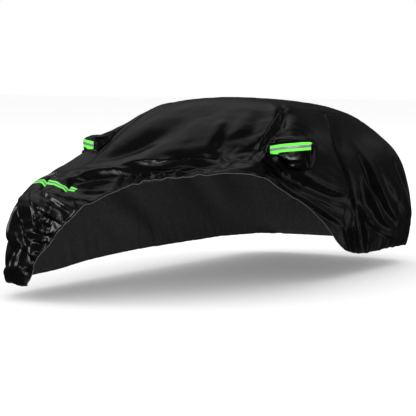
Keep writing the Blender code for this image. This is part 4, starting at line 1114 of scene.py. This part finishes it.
def clear_of_panel(ring, side, places):
    """Move a ring's points, but for its tape's, out until they clear the side panel below them."""
    for k in range(3 * FINE, (POCKET_POINTS - 1) * FINE + 1):
        distance = np.hypot(*(places[:, 1:] - ring[k, 1:]).T)
        reach = (side * places[np.argpartition(distance, NEIGHBOURS)[:NEIGHBOURS], 0]).max()
        ring[k, 0] = side * max(side * ring[k, 0], reach + POCKET_CLEARANCE)
    return ring


def outward_of(surface, inside):
    """The unit normals of a grid of points, facing away from a place inside it."""
    normal = unit(np.cross(np.gradient(surface, axis=0), np.gradient(surface, axis=1)))
    return normal if (normal * (surface - inside)).sum() > 0 else -normal


def pocket_folds(surface, inside):
    """Fold and crumple a pocket's cloth."""
    normal = outward_of(surface, inside)
    shift = np.zeros_like(surface)
    for _, width, rise, sharp, places in POCKET_FOLDS:
        path = [surface[round(ring * RING_STEPS), round(point * FINE)] for ring, point in places]
        shift += fold_shift(surface, normal, width, rise, sharp, 0.0, path)
    crease = POCKET_CRUMPLE * lump_noise(surface @ SKEW, POCKET_FACET, POCKET_SEED, crisp=True)
    from_root = np.clip((np.arange(len(surface)) - RING_STEPS) / RING_STEPS, 0, 1)[:, None, None]
    return surface + from_root * (shift + crease[..., None] * normal)


def pocket(name, side, hole, turn, z_tape, climb, rings, panel_name, panel_points):
    """A cup of cloth sewn to the rim of its hole, and the tape and strip around its front."""
    places = panel_points[::2, ::2].reshape(-1, 3)
    loops = [hole_rim(panel_points, hole, turn)]
    for ring in rings:
        loop = pocket_ring(side, z_tape, climb, rings[0][0], rings[-1][0], ring)
        loops.append(clear_of_panel(loop, side, places))
    tip = loops[-1].mean(axis=0) + np.array((side * POCKET_TIP, 0, 0))
    loops.append(tip + 0.5 * (loops[-1] - tip) + np.array((side * POCKET_CROWN, 0, 0)))
    loops.append(np.repeat(tip[None], len(loops[0]), 0))
    steps = np.linspace(0, len(loops) - 1, (len(loops) - 1) * RING_STEPS + 1)
    surface = smooth_row(np.array(loops).reshape(len(loops), -1), steps).reshape(len(steps), -1, 3)
    inside = np.array((side * POCKET_HEART[0], POCKET_HEART[1], z_tape))
    surface = pocket_folds(surface, inside)
    around = np.concatenate([surface, surface[:, :1]], axis=1)
    node = grid_mesh(f"{name}_pocket_cloth", around, closed=True)
    cover_cloth(node, inside, f"{name}_mirror_pocket")
    rows = slice(TAPE_RINGS[0] * RING_STEPS, TAPE_RINGS[1] * RING_STEPS + 1)
    front = np.concatenate([surface[rows, -FINE:], surface[rows, :2 * FINE + 1]], axis=1)
    tape_and_strip((f"{name}_pocket_tape", f"{name}_pocket_strip"),
                   (f"{name}_mirror_tape", f"{name}_mirror_strip"), front, inside)


def tape_and_strip(names, solids, points, inside):
    """A thin green tape laid on a grid of points, along its rows, with a grey strip on its middle."""
    bands = ((points, TAPE_LIFT, GREEN, "green tape", TAPE_WIDTH),
             (points[:, FINE:2 * FINE + 1], STRIP_LIFT, GREY, "grey strip", STRIP_WIDTH))
    for name, solid, (band, lift, material, slot, width) in zip(names, solids, bands):
        node = grid_mesh(name, band + lift * outward_of(band, inside))
        node.visible_glossy = False
        face_outwards(node, inside)
        thicken(node, TAPE_THICKNESS, offset=1.0)
        dress(node, material, slot, solid)


for (name, side, *hole, turn, z_tape, climb, rings), beside in zip(
        POCKETS, (("left_front_cloth", left_front), ("right_side_cloth", right))):
    pocket(name, side, hole, turn, z_tape, climb, rings, *beside)

# ---------------------------------------------------------------- corner tape
tape_rows = slice(EDGE_ROWS * FINE, (EDGE_ROWS + TAPE_ROWS) * FINE + 1)
over_side = right[tape_rows, TAPE_ON_SIDE * FINE::-1]
over_centre = centre[tape_rows, 1:TAPE_ON_CENTRE * FINE + 1]
corner = turned(np.concatenate([over_side, over_centre], axis=1))
tape_and_strip(("corner_tape_band", "corner_strip_band"), ("corner_tape", "corner_strip"), corner,
               CORNER_HEART)


# ---------------------------------------------------------------- floor, light and camera
def floor():
    bm = bmesh.new()
    bmesh.ops.create_grid(bm, x_segments=1, y_segments=1, size=60.0)
    bmesh.ops.translate(bm, verts=bm.verts[:], vec=Vector((0.0, 0.0, -ROOF_SEAT[2])))
    node = new_object("pale_floor", bm)
    made, _, shader = new_material("pale floor")
    feed(shader, {"Base Color": (0.86, 0.86, 0.86, 1.0), "Roughness": 0.8, "Emission Color": WHITE,
                  "Emission Strength": FLOOR_GLOW})
    node.data.materials.append(made)
    node.visible_diffuse = False
    node.visible_glossy = False


def area_light(name, place, target, size, power):
    light = bpy.data.lights.new(name, "AREA")
    light.shape = "RECTANGLE"
    light.size, light.size_y = size
    light.energy = power
    node = bpy.data.objects.new(name, light)
    node.visible_camera = False
    node.location = place
    node.rotation_euler = (Vector(target) - Vector(place)).to_track_quat("-Z", "Y").to_euler()
    bpy.context.scene.collection.objects.link(node)


def world_light():
    """A white backdrop. The cloth reflects a dim sky with one soft bright patch, in even light."""
    world = bpy.data.worlds.new("studio")
    world.use_nodes = True
    tree = world.node_tree
    backdrop = feed(tree.nodes["Background"], {"Color": WHITE, "Strength": 1.0})
    direction = node_of(tree, "ShaderNodeTexCoord").outputs["Generated"]
    towards = node_of(tree, "ShaderNodeVectorMath", {0: direction, 1: Vector(BRIGHT_SKY).normalized()},
                      operation="DOT_PRODUCT").outputs["Value"]
    height = node_of(tree, "ShaderNodeSeparateXYZ", {"Vector": direction}).outputs["Z"]
    reflected = math_of(tree, "ADD", range_of(tree, towards, 0.0, SKY_PATCH, *PATCH_EDGE),
                        range_of(tree, height, SKY_LOW, SKY_HIGH, *HORIZON))
    path = node_of(tree, "ShaderNodeLightPath").outputs
    even = range_of(tree, path["Is Diffuse Ray"], 0.0, EVEN_LIGHT, 0.0, 1.0)
    fill = node_of(tree, "ShaderNodeBackground",
                   {"Color": WHITE, "Strength": math_of(tree, "MAXIMUM", reflected, even)})
    mixed = node_of(tree, "ShaderNodeMixShader",
                    {0: path["Is Camera Ray"], 1: fill.outputs[0], 2: backdrop.outputs[0]})
    feed(tree.nodes["World Output"], {"Surface": mixed.outputs[0]})
    bpy.context.scene.world = world


def camera():
    """The photo's view."""
    azimuth, elevation = math.radians(VIEW_AZIMUTH), math.radians(VIEW_ELEVATION)
    back = Vector((math.sin(azimuth) * math.cos(elevation), -math.cos(azimuth) * math.cos(elevation),
                   math.sin(elevation)))
    lens = bpy.data.cameras.new("camera")
    lens.sensor_width = SENSOR
    lens.lens = VIEW_LENS
    lens.clip_end = VIEW_END
    node = bpy.data.objects.new("camera", lens)
    node.location = VIEW_PLACE
    node.rotation_euler = (-back).to_track_quat("-Z", "Y").to_euler()
    bpy.context.scene.collection.objects.link(node)
    bpy.context.scene.camera = node


floor()
world_light()
for light in LIGHTS:
    area_light(*light)
camera()
bpy.context.scene.view_settings.view_transform = "Standard"
